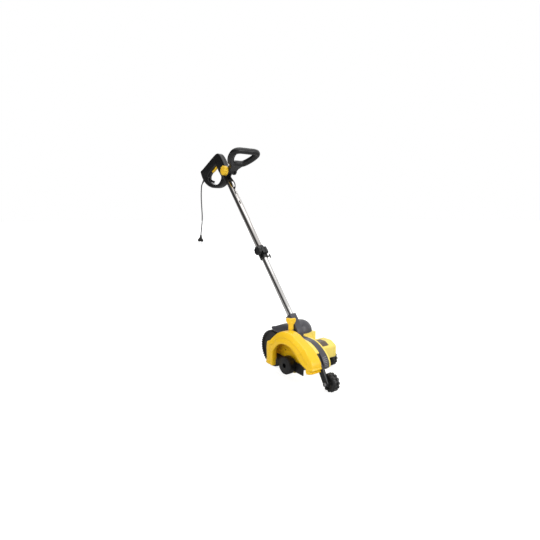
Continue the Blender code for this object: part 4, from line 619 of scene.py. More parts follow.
def plate(name, outlines, low, high, way=SIDE, edge=0.0, rounds=3):
    """Flat outlines made solid from low to high, with rims rounded by edge."""
    curve = bpy.data.curves.new(name, "CURVE")
    curve.dimensions = "2D"
    curve.fill_mode = "BOTH"
    curve.extrude = (high - low) / 2 - edge
    curve.bevel_depth = edge
    curve.bevel_resolution = rounds
    curve.offset = -edge
    for outline in outlines:
        spline = curve.splines.new("POLY")
        spline.points.add(len(outline) - 1)
        for spot, where in zip(spline.points, outline):
            spot.co = (where[0], where[1], 0, 1)
        spline.use_cyclic_u = True
    mesh = settled(scratch(name, curve))
    middle = (low + high) / 2 * (-1 if way is SIDE else 1)
    bm = bmesh.new()
    bm.from_mesh(mesh)
    bmesh.ops.remove_doubles(bm, verts=bm.verts, dist=0.00001)
    bmesh.ops.transform(bm, matrix=way @ Matrix.Translation((0, 0, middle)), verts=bm.verts)
    return mesh_from(bm, name)


def combined(operation, mesh, others):
    """A mesh after one exact Boolean with each of some others."""
    obj = scratch("worked", mesh)
    tools = [scratch("tool", other) for other in others]
    for tool in tools:
        step = obj.modifiers.new("step", "BOOLEAN")
        step.operation, step.object, step.solver = operation, tool, "EXACT"
    result = settled(obj)
    for tool in tools:
        bpy.data.objects.remove(tool)
    return result


def cut_out(mesh, *cutters):
    """A mesh less some others."""
    return combined("DIFFERENCE", mesh, cutters)


def united(mesh, *others):
    """A mesh and some others as one body."""
    return combined("UNION", mesh, others)


COLLAR = 0.451  # its lower end, along the tube
collar = [(0.0163, 0), (0.0215, 0), (0.0225, 0.0010), (0.0225, 0.0120), (0.0216, 0.0126), (0.0216, 0.0140),
          (0.0225, 0.0146), (0.0225, 0.0580), (0.0216, 0.0586), (0.0216, 0.0600), (0.0225, 0.0606),
          (0.0225, 0.0710), (0.0215, 0.0720), (0.0178, 0.0720), (0.0178, 0.0360), (0.0163, 0.0360)]
collar = [(radius, COLLAR + height) for radius, height in collar]
ear = [(x, COLLAR + up) for x, up in ((0.0190, 0.016), (0.0325, 0.017), (0.0325, 0.054), (0.0190, 0.055))]
gash = [(x, COLLAR + up) for x, up in ((0.0100, -0.014), (0.05, -0.014), (0.05, 0.059), (0.0100, 0.059))]
ears = plate("ears", [ear], -0.0168, 0.0168, edge=0.0012)
slit = plate("slit", [gash], -0.0015, 0.0015)
collar_mesh = cut_out(united(turned("collar", collar, Matrix.Identity(4)), ears), slit)
collar_mesh.transform(TUBE)
place("clamp_collar", collar_mesh, BLACK, "upper", "clamp_collar")


# %% [markdown]
# Hand knobs are round outlines with scallops for the fingers, dished on their faces. The cord peg on
# the clamp's other side is a small T, on which the cord can be hung out of the way.

# %% Clamp knob and cord peg
TO_Y = Matrix(((1, 0, 0, 0), (0, 0, 1, 0), (0, -1, 0, 0), (0, 0, 0, 1)))  # a turned axis from Z to Y


def arc(x, z, radius, first, last, steps=12):
    """Points along an arc, angles in degrees."""
    angles = [math.radians(first + (last - first) * k / steps) for k in range(steps + 1)]
    return [(x + radius * math.cos(angle), z + radius * math.sin(angle)) for angle in angles]


def axle(centre):
    """Stands a turned profile on an axis along Y, through a centre."""
    return Matrix.Translation(centre) @ TO_Y


def joined(name, *meshes):
    """Several meshes as one."""
    bm = bmesh.new()
    for mesh in meshes:
        bm.from_mesh(mesh)
    return mesh_from(bm, name, recalculate=False)


def lobed(x, z, radius, lobes, depth):
    """A round outline with shallow scallops."""
    count = 10 * lobes
    turns = [2 * math.pi * k / count for k in range(count)]
    reach = [radius * (1 - depth * (0.5 - 0.5 * math.cos(lobes * t)) ** 1.5) for t in turns]
    return [(x + r * math.cos(t), z + r * math.sin(t)) for r, t in zip(reach, turns)]


def knob_mesh(name, x, z, radius, lobes, depth, far, foot, neck_radius, neck, hollow):
    """A lobed hand knob on the Y axis, its dished face at far, its foot at foot."""
    head = plate(name, [lobed(x, z, radius, lobes, depth)], far, foot - neck, edge=0.0028, rounds=4)
    bowl = [(0, -0.001), (radius * 0.58, -0.001), (radius * 0.55, hollow), (0, hollow * 1.2)]
    head = cut_out(head, turned("bowl", bowl, axle((x, far, z)), 48))
    if not neck:
        return head
    stem = turned("stem", drum(neck_radius, foot, foot - neck - 0.001), axle((x, 0, z)), 40)
    return joined(name, head, stem)


clamp_knob = knob_mesh("clamp_knob", 0.0240, COLLAR + 0.035, 0.0235, 8, 0.12, -0.0491, -0.0171, 0.009, 0.0130,
                       0.0022)
clamp_knob.transform(TUBE)
place("clamp_knob", clamp_knob, PITCH, "clamp_knob", "clamp_knob")
peg = [(0, 0), (0.0052, 0), (0.0052, 0.0015), (0.0042, 0.0028), (0.0036, 0.0150), (0.0040, 0.0200),
       (0, 0.0222)]
at_peg = TUBE @ axle((0, 0.0228, COLLAR + 0.012))
cross = arc(-0.0001, COLLAR + 0.021, 0.0032, 0, 180, 8) + arc(-0.0001, COLLAR + 0.003, 0.0032, 180, 360, 8)
cross = plate("cross", [cross], 0.0403, 0.0455, edge=0.0014)
cross.transform(TUBE)
place("cord_peg", joined("cord_peg", turned("cord_peg", peg, at_peg, 24), cross), BLACK, "upper", "cord_peg")


# %% [markdown]
# Geometry Nodes make what repeats: wheel ribs, tread lugs, screws, cooling slots and scale marks.
# The marks are points, each with a turn. The tree puts one copy of the item on each, makes the
# copies real and gives them their material.

# %% Copies on marks
def marks_tree():
    tree = bpy.data.node_groups.new("copies on marks", "GeometryNodeTree")
    for name, kind in (("Marks", "Geometry"), ("Item", "Object"), ("Material", "Material")):
        tree.interface.new_socket(name, in_out="INPUT", socket_type=f"NodeSocket{kind}")
    tree.interface.new_socket("Geometry", in_out="OUTPUT", socket_type="NodeSocketGeometry")
    given = add(tree, "NodeGroupInput").outputs
    item = add(tree, "GeometryNodeObjectInfo", {"Object": given["Item"]}, transform_space="ORIGINAL")
    turn = add(tree, "GeometryNodeInputNamedAttribute", data_type="FLOAT_VECTOR", Name="turn")
    spin = add(tree, "FunctionNodeEulerToRotation", {"Euler": turn.outputs["Attribute"]})
    copies = add(tree, "GeometryNodeInstanceOnPoints", {
        "Points": given["Marks"], "Instance": item.outputs["Geometry"], "Rotation": spin.outputs[0]})
    real = add(tree, "GeometryNodeRealizeInstances", {"Geometry": copies.outputs[0]})
    finished = add(tree, "GeometryNodeSetMaterial",
                   {"Geometry": real.outputs[0], "Material": given["Material"]})
    add(tree, "NodeGroupOutput", {"Geometry": finished.outputs[0]})
    return tree


MARKS_TREE = marks_tree()


def copies(name, item, marks, look):
    """One mesh of the item's copies, each at a mark of (place, turn as XYZ Euler angles)."""
    mesh = bpy.data.meshes.new(name)
    mesh.from_pydata([tuple(spot) for spot, _ in marks], [], [])
    turns = mesh.attributes.new("turn", "FLOAT_VECTOR", "POINT")
    turns.data.foreach_set("vector", [value for _, turn in marks for value in turn])
    sample = scratch(f"{name} item", item)
    obj = scratch(name, mesh)
    step = obj.modifiers.new("copies", "NODES")
    step.node_group = MARKS_TREE
    sockets = {s.name: s.identifier for s in MARKS_TREE.interface.items_tree if s.in_out == "INPUT"}
    step[sockets["Item"]] = sample
    step[sockets["Material"]] = look[0]
    result = settled(obj)
    bpy.data.objects.remove(sample)
    print(name, len(marks), "copies")
    return result


def softened(mesh, width, segments=2):
    """A mesh with its edges rounded."""
    obj = scratch("softened", mesh)
    step = obj.modifiers.new("rounding", "BEVEL")
    step.width, step.segments, step.angle_limit = width, segments, math.radians(30)
    return settled(obj)


def block(name, foot, top, height, sink=0.002, edge=0.0007):
    """A tapered block standing on Z = 0; foot and top are (length along X, width along Y)."""
    rows = [[(i * a / 2, j * b / 2, z) for i, j in CORNERS] for (a, b), z in ((foot, -sink), (top, height))]
    return softened(lofted(name, rows), edge)


def ring_marks(centre, y, count, radius, shift=0.0):
    """Marks round an axle from its lowest point, each turned so that +Z points outwards."""
    marks = []
    for k in range(count):
        angle = -math.pi / 2 + 2 * math.pi * (k + shift) / count
        out = Vector((math.cos(angle), 0, math.sin(angle)))
        turn = axes(Vector((0, 1, 0)), out).to_euler()
        marks.append((Vector(centre) + out * radius + Vector((0, y, 0)), tuple(turn)))
    return marks


print("node tree with", len(MARKS_TREE.nodes), "nodes")

# %% [markdown]
# The wheels are moulded in one piece of rubbery plastic. Their bodies are turned. The big one has
# ribs across its tread, nicks on its shoulders and eight short spokes round its hub on each side.

# %% Rear wheel
REAR_RADIUS = 0.095
RIBS, RIB_FOOT = 44, 0.0912  # the ribs' number, and the radius that they stand on
SPOKES = 8
wheel = [(0.0053, -0.021), (0.0172, -0.021), (0.0188, -0.0196), (0.0190, -0.0100), (0.0250, -0.0092),
         (0.0450, -0.0092), (0.0460, -0.0104), (0.0490, -0.0104), (0.0500, -0.0092), (0.0770, -0.0092),
         (0.0800, -0.0110), (0.0810, -0.0168), (0.0824, -0.0180), (0.0880, -0.0180), (0.0902, -0.0172),
         (0.0912, -0.0155)]
wheel = wheel + [(radius, -y) for radius, y in wheel[::-1]]
hub = (0, 0, REAR_RADIUS)
rib = block("rib", (0.0350, 0.0072), (0.0330, 0.0052), 0.0038, sink=0.0012)
ribs = copies("rear wheel ribs", rib, ring_marks(hub, 0, RIBS, RIB_FOOT), RUBBER)
nick = block("nick", (0.0036, 0.0080), (0.0026, 0.0060), 0.0022, sink=0.0080, edge=0.0006)
nicks = [mark for side in (-1, 1) for mark in ring_marks(hub, side * 0.0176, RIBS, RIB_FOOT)]
nicks = copies("rear wheel shoulders", nick, nicks, RUBBER)
spoke = block("spoke", (0.0048, 0.0225), (0.0034, 0.0225), 0.0048, sink=0.001, edge=0.0008)
spokes = []
for side in (-1, 1):
    for k in range(SPOKES):
        angle = 2 * math.pi * (k + 0.5) / SPOKES
        out = Vector((math.cos(angle), 0, math.sin(angle)))
        face = Vector((0, side, 0))
        turn = axes(out.cross(face), face).to_euler()
        spokes.append((Vector(hub) + face * 0.0092 + out * 0.0330, tuple(turn)))
spokes = copies("rear wheel spokes", spoke, spokes, RUBBER)
disc = turned("rear_wheel", wheel, axle(hub), 2 * RIBS)
place("rear_wheel", joined("rear_wheel", disc, ribs, nicks, spokes), RUBBER, "rear_wheel", "rear_wheel")

# %% [markdown]
# The two small wheels are alike, with two rows of lugs that stand in each other's gaps.

# %% Small wheels
FRONT_WHEEL, LEFT_WHEEL = (0.413, -0.008, 0.042), (0.175, 0.228, 0.042)
LUGS = 13
small = [(0.0043, -0.0170), (0.0115, -0.0170), (0.0130, -0.0158), (0.0132, -0.0112), (0.0265, -0.0110),
         (0.0273, -0.0120), (0.0275, -0.0158), (0.0287, -0.0169), (0.0345, -0.0168), (0.0366, -0.0150),
         (0.0375, -0.0128), (0.0375, -0.0016), (0.0362, -0.0010)]
small = small + [(radius, -y) for radius, y in small[::-1]]
for name, centre in (("front_wheel", FRONT_WHEEL), ("left_wheel", LEFT_WHEEL)):
    lug = block("lug", (0.0142, 0.0120), (0.0118, 0.0104), 0.0044, sink=0.0022, edge=0.0011)
    cheek = block("cheek", (0.0030, 0.0070), (0.0030, 0.0056), 0.0030, sink=0.0070, edge=0.0006)
    rows, sides = [ring_marks(centre, -y, LUGS, radius) + ring_marks(centre, y, LUGS, radius, 0.5)
                   for y, radius in ((0.0085, 0.0375), (0.0152, 0.0345))]
    tread = joined(name, turned(name, small, axle(centre), 6 * LUGS),
                   copies(f"{name} lugs", lug, rows, RUBBER),
                   copies(f"{name} cheeks", cheek, sides, RUBBER))
    place(name, tread, RUBBER, name, name)


# %% [markdown]
# The blade guard is one moulded shell: a rim on the body's side, a wall out over a crease, a broad
# curved face with a shallow groove, and the arch whose edge turns in. A shell like that is easiest
# as rows of points, one for each stage between the rim and the arch, skinned and then given a wall.

# %% Blade guard
GUARD_RIM = (
    (0.066, 0.060), (0.071, 0.074), (0.074, 0.090), (0.073, 0.108), (0.072, 0.130), (0.0735, 0.152),
    (0.0785, 0.1685), (0.0965, 0.1745), (0.109, 0.196), (0.133, 0.2165), (0.164, 0.231), (0.205, 0.237),
    (0.243, 0.230), (0.274, 0.216), (0.306, 0.200), (0.338, 0.183), (0.368, 0.158), (0.386, 0.136),
    (0.391, 0.115),
)
GUARD_ARCH = (
    (0.126, 0.060), (0.126, 0.078), (0.126, 0.094), (0.126, 0.108), (0.127, 0.121), (0.130, 0.135),
    (0.136, 0.145), (0.142, 0.152), (0.149, 0.160), (0.160, 0.170), (0.180, 0.182), (0.207, 0.189),
    (0.236, 0.189), (0.265, 0.181), (0.289, 0.166), (0.310, 0.147), (0.329, 0.131), (0.348, 0.121),
    (0.364, 0.1165),
)
TOE_RIM = ((0.3945, 0.1095), (0.3930, 0.1070), (0.3860, 0.1050), (0.3845, 0.0975), (0.3875, 0.0955),
           (0.3870, 0.0915))
TOE_ARCH = ((0.3680, 0.1135), (0.3675, 0.1110), (0.3645, 0.1085), (0.3665, 0.0975), (0.3700, 0.0950),
            (0.3705, 0.0910))
STAGES = (  # share of the way to the arch, out over the crease, out to the face, depth of the groove
    (0.0, 0.0, 0.0, 0), (0.004, 0.25, 0.0, 0), (0.010, 0.60, 0.0, 0), (0.018, 0.86, 0.0, 0),
    (0.026, 0.97, 0.0, 0), (0.036, 1.0, 0.02, 0), (0.060, 1.0, 0.07, 0), (0.120, 1.0, 0.17, 0),
    (0.180, 1.0, 0.28, 0), (0.250, 1.0, 0.40, 0), (0.320, 1.0, 0.51, 0), (0.390, 1.0, 0.61, 0),
    (0.430, 1.0, 0.665, 0.05), (0.455, 1.0, 0.70, 0.3), (0.480, 1.0, 0.73, 0.7), (0.510, 1.0, 0.76, 1.0),
    (0.540, 1.0, 0.79, 1.0), (0.580, 1.0, 0.82, 0.85), (0.680, 1.0, 0.89, 0.5), (0.780, 1.0, 0.94, 0.25),
    (0.880, 1.0, 0.98, 0.1), (0.960, 1.0, 1.0, 0), (1.0, 1.0, 0.985, 0),
)
GUARD_BACK, GUARD_FACE, GUARD_WALL = -0.0503, -0.115, 0.0025
GROOVE = 0.0030
LIP = 0.0012  # where the arch's edge starts to turn in, behind the face


def smooth_step(value, low, high):
    """0 below low, 1 above high, and an S curve between."""
    share = min(1.0, max(0.0, (value - low) / (high - low)))
    return share * share * (3 - 2 * share)


def skinned(name, rows, skin, edge):
    """A skin drawn from row to row, thickened inwards, its open edges rounded."""
    bm = bmesh.new()
    grid = [[bm.verts.new(spot) for spot in row] for row in rows]
    for near, far in zip(grid, grid[1:]):
        for k in range(len(near) - 1):
            bm.faces.new((near[k], near[k + 1], far[k + 1], far[k]))
    obj = scratch(name, mesh_from(bm, name, recalculate=False))
    wall = obj.modifiers.new("wall", "SOLIDIFY")
    wall.thickness, wall.offset, wall.use_even_offset = skin, -1, False
    soft = obj.modifiers.new("edges", "BEVEL")
    soft.width, soft.segments, soft.angle_limit = edge, 2, math.radians(60)
    return settled(obj)


rim = through(GUARD_RIM, closed=False) + list(TOE_RIM)
arch = through(GUARD_ARCH, closed=False) + list(TOE_ARCH)
rows = [[] for _ in range(len(STAGES) + 4)]
for (x, z), (arch_x, arch_z) in zip(rim, arch):
    if x < 0.2:  # the leg stands out to the full depth; over the crown the crease lies further in
        crease_y = -0.108 + 0.017 * smooth_step(z, 0.172, 0.205)
    else:
        crease_y = -0.091 - 0.010 * smooth_step(x, 0.30, 0.386)
    quiet = 1 - 0.7 * smooth_step(arch_x, 0.325, 0.360)  # the groove fades into the toe
    # The leg has a flange behind it, drawn in as far as this.
    reach = 0.034 * (1 - smooth_step(x, 0.100, 0.130)) * smooth_step(z, 0.064, 0.080)
    rows[0].append((x + (arch_x - x) * 0.03 + reach, GUARD_BACK - 0.0002, z + (arch_z - z) * 0.03))
    for row, (share, out, face, groove) in zip(rows[1:], STAGES):
        y = GUARD_BACK + (crease_y - GUARD_BACK) * out + (GUARD_FACE - crease_y) * face
        row.append((x + (arch_x - x) * share, y + GROOVE * groove * quiet, z + (arch_z - z) * share))
    turn_in = 0.006 + 0.010 * smooth_step(arch_x, 0.300, 0.350)
    turn_in += 0.012 * (1 - smooth_step(arch_x, 0.130, 0.170))
    for row, share in zip(rows[-3:], (0.25, 0.6, 1.0)):
        row.append((arch_x, GUARD_FACE + LIP + (turn_in - LIP) * share, arch_z))
place("blade_guard", skinned("blade_guard", rows, GUARD_WALL, 0.0006), YELLOW, "machine_body", "blade_guard",
      smooth=48)


# %% [markdown]
# The blade is a bar of spring steel, ground to an edge all round. The thick dish in front of it
# guards the bolt and rides on the ground.

# %% Blade, dish and bolt
def rounded(corners, steps=6):
    """A closed outline whose corners (x, z, radius) are arcs."""
    outline = []
    for k, (x, z, radius) in enumerate(corners):
        here = Vector((x, z))
        into = (Vector(corners[k - 1][:2]) - here).normalized()
        out = (Vector(corners[(k + 1) % len(corners)][:2]) - here).normalized()
        half = into.angle(out) / 2
        middle = here + (into + out).normalized() * radius / math.sin(half)
        first = here + into * radius / math.tan(half) - middle
        last = here + out * radius / math.tan(half) - middle
        sweep = math.atan2(first.cross(last), first.dot(last))
        for step in range(steps + 1):
            outline.append(tuple(middle + Matrix.Rotation(sweep * step / steps, 2) @ first))
    return outline


def corner_box(half_x, half_z, radius, steps):
    """A centred rectangle with round corners."""
    return rounded([(i * half_x, j * half_z, radius) for i, j in CORNERS], steps)


BLADE_AXIS = Vector((0.202, 0.0, 0.079))
tilt = Matrix.Rotation(math.radians(-3.0), 2)
whole = corner_box(0.099, 0.025, 0.004, 4)
flat = corner_box(0.0935, 0.0195, 0.0008, 4)  # inside the ground edge
rows = []
for outline, y in ((flat, -0.0716), (whole, -0.0704), (whole, -0.0696), (flat, -0.0684)):
    spots = [BLADE_AXIS.xz + tilt @ Vector(corner) for corner in outline]
    rows.append([(x, y, z) for x, z in spots])
drill = turned("drill", drum(0.0063, -0.08, -0.06), axle(BLADE_AXIS), 48)
place("edger_blade", cut_out(lofted("edger_blade", rows), drill), BLADE_STEEL, "blade", "edger_blade",
      smooth=20)

dish = [(0.0043, -0.0764), (0.0112, -0.0764), (0.0112, -0.1035), (0.0122, -0.1048), (0.0330, -0.1052),
        (0.0345, -0.1046), (0.0360, -0.1052), (0.0390, -0.1050), (0.0412, -0.1036), (0.0425, -0.1012),
        (0.0430, -0.0975), (0.0430, -0.0727), (0.0424, -0.0719), (0.0400, -0.0719), (0.0400, -0.0970),
        (0.0350, -0.1015), (0.0150, -0.1015), (0.0150, -0.0719), (0.0043, -0.0719)]
place("blade_hub", turned("blade_hub", dish, axle(BLADE_AXIS), 96), PITCH, "blade", "blade_hub")

head = plate("head", [arc(*BLADE_AXIS.xz, 0.0085, 0, 300, 5)], -0.0819, -0.0767, edge=0.0004, rounds=1)
shank = turned("shank", drum(0.0040, -0.0770, -0.0585), axle(BLADE_AXIS), 32)
place("blade_bolt", joined("blade_bolt", head, shank), STEEL, "blade", "blade_bolt")


# %% [markdown]
# A CAD piece whose form is already right only needs what moulding gives it: soft edges. A copy of
# its mesh is merged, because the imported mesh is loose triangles, its flat triangles become whole
# faces again, and its sharp edges are rounded. The body is a sandwich of such pieces: a yellow near
# shell, the black band over the gears with its depth scale, and a thin yellow far shell.

# %% Body slices
def body_of(node):
    return next(body for body, members in frame["record"]["behaviour"]["bodies"].items() if node in members)


def dress(node, look, edge, cutters=(), segments=2):
    """The CAD node's own shape with cuts, rounded edges and its finish."""
    bm = bmesh.new()
    bm.from_mesh(frame["nodes"][node].data)
    bmesh.ops.remove_doubles(bm, verts=bm.verts, dist=0.000005)
    bmesh.ops.dissolve_limit(bm, angle_limit=math.radians(0.6), verts=bm.verts, edges=bm.edges)
    mesh = mesh_from(bm, node, recalculate=False)
    if cutters:
        mesh = cut_out(mesh, *cutters)
    return place(f"{node}_finished", softened(mesh, edge, segments), look, body_of(node), node)


# The shells take the yellow that is painted paler, as painted light.
dress("near_shell", YELLOW_PAINTED_PALER, 0.0012)
dress("far_shell", YELLOW_PAINTED_PALER, 0.0012)
NOSE = ((0.262, 0.207), (0.300, 0.201), (0.336, 0.184), (0.366, 0.160), (0.386, 0.131), (0.389, 0.104))
SCALE_LOW, SCALE_HIGH, SCALE_PITCH = 0.108, 0.152, 0.0046
SCALE_Y = -0.012
nose = [Vector(spot) for spot in through(NOSE, 8, closed=False)]
scale_marks = []
walked = marked_at = 0.0
for here, there in zip(nose, nose[1:]):
    if SCALE_LOW < here.y < SCALE_HIGH and (not scale_marks or walked - marked_at > SCALE_PITCH):
        out = Vector((here.y - there.y, 0, there.x - here.x)).normalized()
        turn = axes(Vector((0, 1, 0)), out if out.x > 0 else -out).to_euler()
        scale_marks.append((Vector((here.x, SCALE_Y, here.y)), tuple(turn)))
        marked_at = walked
    walked += (there - here).length
ridge = block("ridge", (0.0200, 0.0018), (0.0194, 0.0012), 0.0008, sink=0.001, edge=0.0003)
place("depth_scale", copies("depth scale", ridge, scale_marks, SCALE_GREY), SCALE_GREY, "machine_body")
dress("body_band", SLATE, 0.0012)


# %% [markdown]
# The chamber plate closes the core behind the blade. Two screws hold it, and a round cover over the
# bearing has a raised ring for its seal.

# %% Chamber plate, its screws and the bearing cover
def screw(radius, height):
    """A pan-head screw with a cross recess, its head standing on Z = 0."""
    profile = [(0, -0.001), (radius, -0.001), (radius, height * 0.35), (radius * 0.86, height * 0.78),
               (radius * 0.5, height), (0, height)]
    bar = [(i * radius * 0.62, j * radius * 0.11) for i, j in CORNERS]
    slots = [plate("slot", [bar], height * 0.3, height * 2, way=PLAN) for _ in range(2)]
    slots[1].transform(Matrix.Rotation(math.pi / 2, 4, "Z"))
    return cut_out(turned("screw", profile, Matrix.Identity(4), 32), *slots)


SCREW_RADIUS = 0.0034
PLATE_SCREWS = ((0.1520, 0.1335), (0.1583, 0.1030))
dress("chamber_plate", YELLOW, 0.0005)
plate_marks = [(Vector((x, -0.0532, z)), (math.pi / 2, 0, 0)) for x, z in PLATE_SCREWS]
plate_screws = copies("plate screws", screw(SCREW_RADIUS, 0.0012), plate_marks, PITCH)
place("plate_screws", plate_screws, PITCH, "machine_body")
cover = [(0.0117, -0.0571), (0.0150, -0.0571), (0.0160, -0.0566), (0.0225, -0.0566), (0.0235, -0.0571),
         (0.0275, -0.0571), (0.0290, -0.0560), (0.0290, -0.0531), (0.0117, -0.0531)]
place("bearing_cover", turned("bearing_cover", cover, axle(BLADE_AXIS)), SLATE, "machine_body",
      "bearing_cover")

# %% [markdown]
# The motor's end cap has two columns of cooling slots, cut right through, and four screws. A thin
# bare plate lies over the casing's upper edge.

# %% Motor casing
CAP_FACE = 0.1570
SLOT_COLUMNS, SLOT_ROWS = (-0.031, 0.031), 6
air_slot = plate("air slot", [arc(0.0085, 0, 0.0013, -90, 90, 8) + arc(-0.0085, 0, 0.0013, 90, 270, 8)],
                 -0.004, 0.004, way=PLAN)
air_marks = [(Vector((0.225 + column, CAP_FACE - 0.0015, 0.104 + row * 0.0075)), (math.pi / 2, 0, 0))
             for column in SLOT_COLUMNS for row in range(SLOT_ROWS)]
air_cuts = copies("air slots", air_slot, air_marks, YELLOW)
CAP_SCREWS = ((0.174, 0.098), (0.273, 0.098), (0.273, 0.145), (0.176, 0.146))
screw_marks = [(Vector((x, CAP_FACE, z)), (-math.pi / 2, 0, 0)) for x, z in CAP_SCREWS]
place("cap_screws", copies("cap screws", screw(SCREW_RADIUS, 0.0016), screw_marks, STEEL), STEEL,
      "machine_body")
# The motor's pieces take the yellow that is painted paler, as painted light.
dress("motor_housing", YELLOW_PAINTED_PALER, 0.0010)
dress("motor_end_cap", YELLOW_PAINTED_PALER, 0.0016, cutters=[air_cuts])
dress("vent_box", YELLOW_PAINTED_PALER, 0.0020, segments=3)
FOIL_NEAR, FOIL_FAR, FOIL = 0.0640, 0.1170, 0.0008  # its ends along Y, and its thickness
wrap = [(0.2130, 0.1683), (0.2360, 0.1683), *arc(0.2455, 0.1520, 0.0163, 88, 60, 5), (0.2740, 0.1542)]
foil_rows = [[(x, FOIL_NEAR, z), (x, FOIL_FAR, z), (x, FOIL_FAR, z + FOIL), (x, FOIL_NEAR, z + FOIL)]
             for x, z in wrap]
place("rating_plate", lofted("rating_plate", foil_rows), PLATE, "machine_body", "rating_plate")


# %% [markdown]
# The black hood is one moulding: a dome, a mudguard over the big wheel, the wing knob's boss and
# the tube's socket. The forms are made apart and joined by Booleans, as the CAD does it, but finer.

# %% Hood's dome and mudguard
def ellipsoid(name, centre, radii):
    bm = bmesh.new()
    bmesh.ops.create_uvsphere(bm, u_segments=ROUND, v_segments=ROUND // 2, radius=1)
    bmesh.ops.transform(bm, matrix=Matrix.Translation(centre) @ Matrix.Diagonal((*radii, 1)), verts=bm.verts)
    return mesh_from(bm, name)


def brick(name, low, high):
    """A plain block, used only as a cutter."""
    low, high = Vector(low), Vector(high)
    bm = bmesh.new()
    bmesh.ops.create_cube(bm, size=1)
    size = Matrix.Diagonal((*(high - low), 1))
    bmesh.ops.transform(bm, matrix=Matrix.Translation((low + high) / 2) @ size, verts=bm.verts)
    return mesh_from(bm, name)


def mudguard_solid(skin, end, below):
    """The mudguard's outside as a closed solid, or its inside: thinner by the skin, shorter, deeper."""
    stations = through([row[:3] for row in MUDGUARD], 5, closed=False)
    drops = through([(row[0], row[3]) for row in MUDGUARD], 5, closed=False)
    rows = []
    for k, ((x, crown, half), (_, drop)) in enumerate(zip(stations, drops)):
        edge, rise, half = crown - drop, max(drop - skin, 0.0004), half - skin
        x += end if k == 0 else -end if k == len(stations) - 1 else 0
        angles = [math.pi * step / 24 for step in range(25)]
        row = [(x, -half * math.cos(angle), edge + rise * math.sin(angle)) for angle in angles]
        foot = edge - 0.001 - below
        rows.append([(x, -half, foot), *row, (x, half, foot)])
    return lofted("mudguard", rows)


HOOD_BASE = 0.2073
HOOD_SKIN = 0.003
DOME_CENTRE, DOME_RADII = (0.142, 0.046, 0.207), (0.052, 0.066, 0.060)
CORE_REAR = 0.1047  # the mudguard meets the core's back here
MUDGUARD = (  # x, height of the crown, half width, drop of the edges
    (-0.014, 0.2075, 0.012, 0.003), (0.012, 0.2150, 0.029, 0.011), (0.048, 0.2290, 0.040, 0.027),
    (0.086, 0.2430, 0.044, 0.0425), (0.126, 0.2515, 0.045, 0.051), (0.150, 0.2540, 0.045, 0.0535),
)
dome = cut_out(ellipsoid("dome", DOME_CENTRE, DOME_RADII),
               brick("under", (0, -0.2, 0.1), (0.3, 0.2, HOOD_BASE)))
mudguard = cut_out(mudguard_solid(0, 0, 0), brick("core", (CORE_REAR, -0.2, 0.1), (0.3, 0.2, HOOD_BASE)))
dome_room = ellipsoid("inner", DOME_CENTRE, [radius - HOOD_SKIN for radius in DOME_RADII])
shell = cut_out(united(dome, mudguard), dome_room, mudguard_solid(0.0026, 0.003, 0.02))
print("dome and mudguard", len(shell.polygons), "faces")


# %% [markdown]
# A rounded square section, carried round a bend from upright to the tube's lean, makes the socket.
# The deck and the boss carry the wing knob, beside the guard.

# %% Hood's deck, boss and socket
def swept(name, line, sections, closed=False, up=(0, 1, 0)):
    """Sections of (across, up) points, one for each point of a line, carried along it."""
    line = [Vector(point) for point in line]
    rows = []
    for k, (here, section) in enumerate(zip(line, sections)):
        before = line[k - 1] if closed or k else here
        after = line[(k + 1) % len(line)] if closed or k + 1 < len(line) else here
        along = (after - before).normalized()
        side = Vector(up).cross(along).normalized()
        top = along.cross(side)
        rows.append([here + side * a + top * b for a, b in section])
    return lofted(name, rows, closed)


DECK = ((0.108, -0.0470, 0.004), (0.214, -0.0470, 0.010), (0.214, 0.012, 0.010), (0.108, 0.012, 0.004))
deck = plate("deck", [rounded(DECK)], HOOD_BASE, HOOD_BASE + 0.004, way=PLAN, edge=0.0012)
KNOB = Matrix.Translation((0.170, -0.0370, 0))
STUD_HOLE = 0.0038
boss = [(0, HOOD_BASE), (0.0160, HOOD_BASE), (0.0160, 0.2335), (0.0150, 0.2350), (0, 0.2350)]
boss = turned("boss", boss, KNOB, 48)
knee = TUBE @ Vector((0, 0, 0.022))
BEND_RADIUS, BEND_STEPS = 0.039, 8
bend_foot = knee.z - BEND_RADIUS * math.tan(TUBE_LEAN / 2)
elbow = [(knee.x, 0, HOOD_BASE)]
for k in range(BEND_STEPS + 1):
    angle = TUBE_LEAN * k / BEND_STEPS
    elbow.append((knee.x - BEND_RADIUS * (1 - math.cos(angle)), 0, bend_foot + BEND_RADIUS * math.sin(angle)))
elbow += [tuple(TUBE @ Vector((0, 0, height))) for height in (0.070, 0.1105, 0.1120)]
square = corner_box(0.0205, 0.0205, 0.0048, 5)
sections = [square] * (len(elbow) - 1) + [[(a * 0.95, b * 0.95) for a, b in square]]
socket = swept("socket", elbow, sections)
beside = brick("beside", (-0.1, -0.2, 0.1), (0.3, -0.0500, 0.4))
bore = turned("bore", drum(0.0163, 0.0297, 0.14), TUBE, 64)
stud_hole = turned("stud hole", drum(STUD_HOLE, 0.19, 0.25), KNOB, 32)
hood = cut_out(united(shell, deck, boss, socket), beside, bore, stud_hole)
place("top_cover", hood, SLATE, "machine_body", "top_cover", smooth=40)


# %% [markdown]
# Wing knobs and the D handle have no sharp corner anywhere. Rough forms are pushed together, voxel
# remeshing fuses them, and smoothing melts the joints, as filler on a pattern maker's model would.

# %% Wing knob
def melted(meshes, voxel, rounds):
    """Overlapping meshes fused and smoothed into one soft form."""
    obj = scratch("melted", joined("melted", *meshes))
    fuse = obj.modifiers.new("fuse", "REMESH")
    fuse.mode, fuse.voxel_size, fuse.use_smooth_shade = "VOXEL", voxel, True
    ease = obj.modifiers.new("ease", "SMOOTH")
    ease.factor, ease.iterations = 0.6, rounds
    return settled(obj)


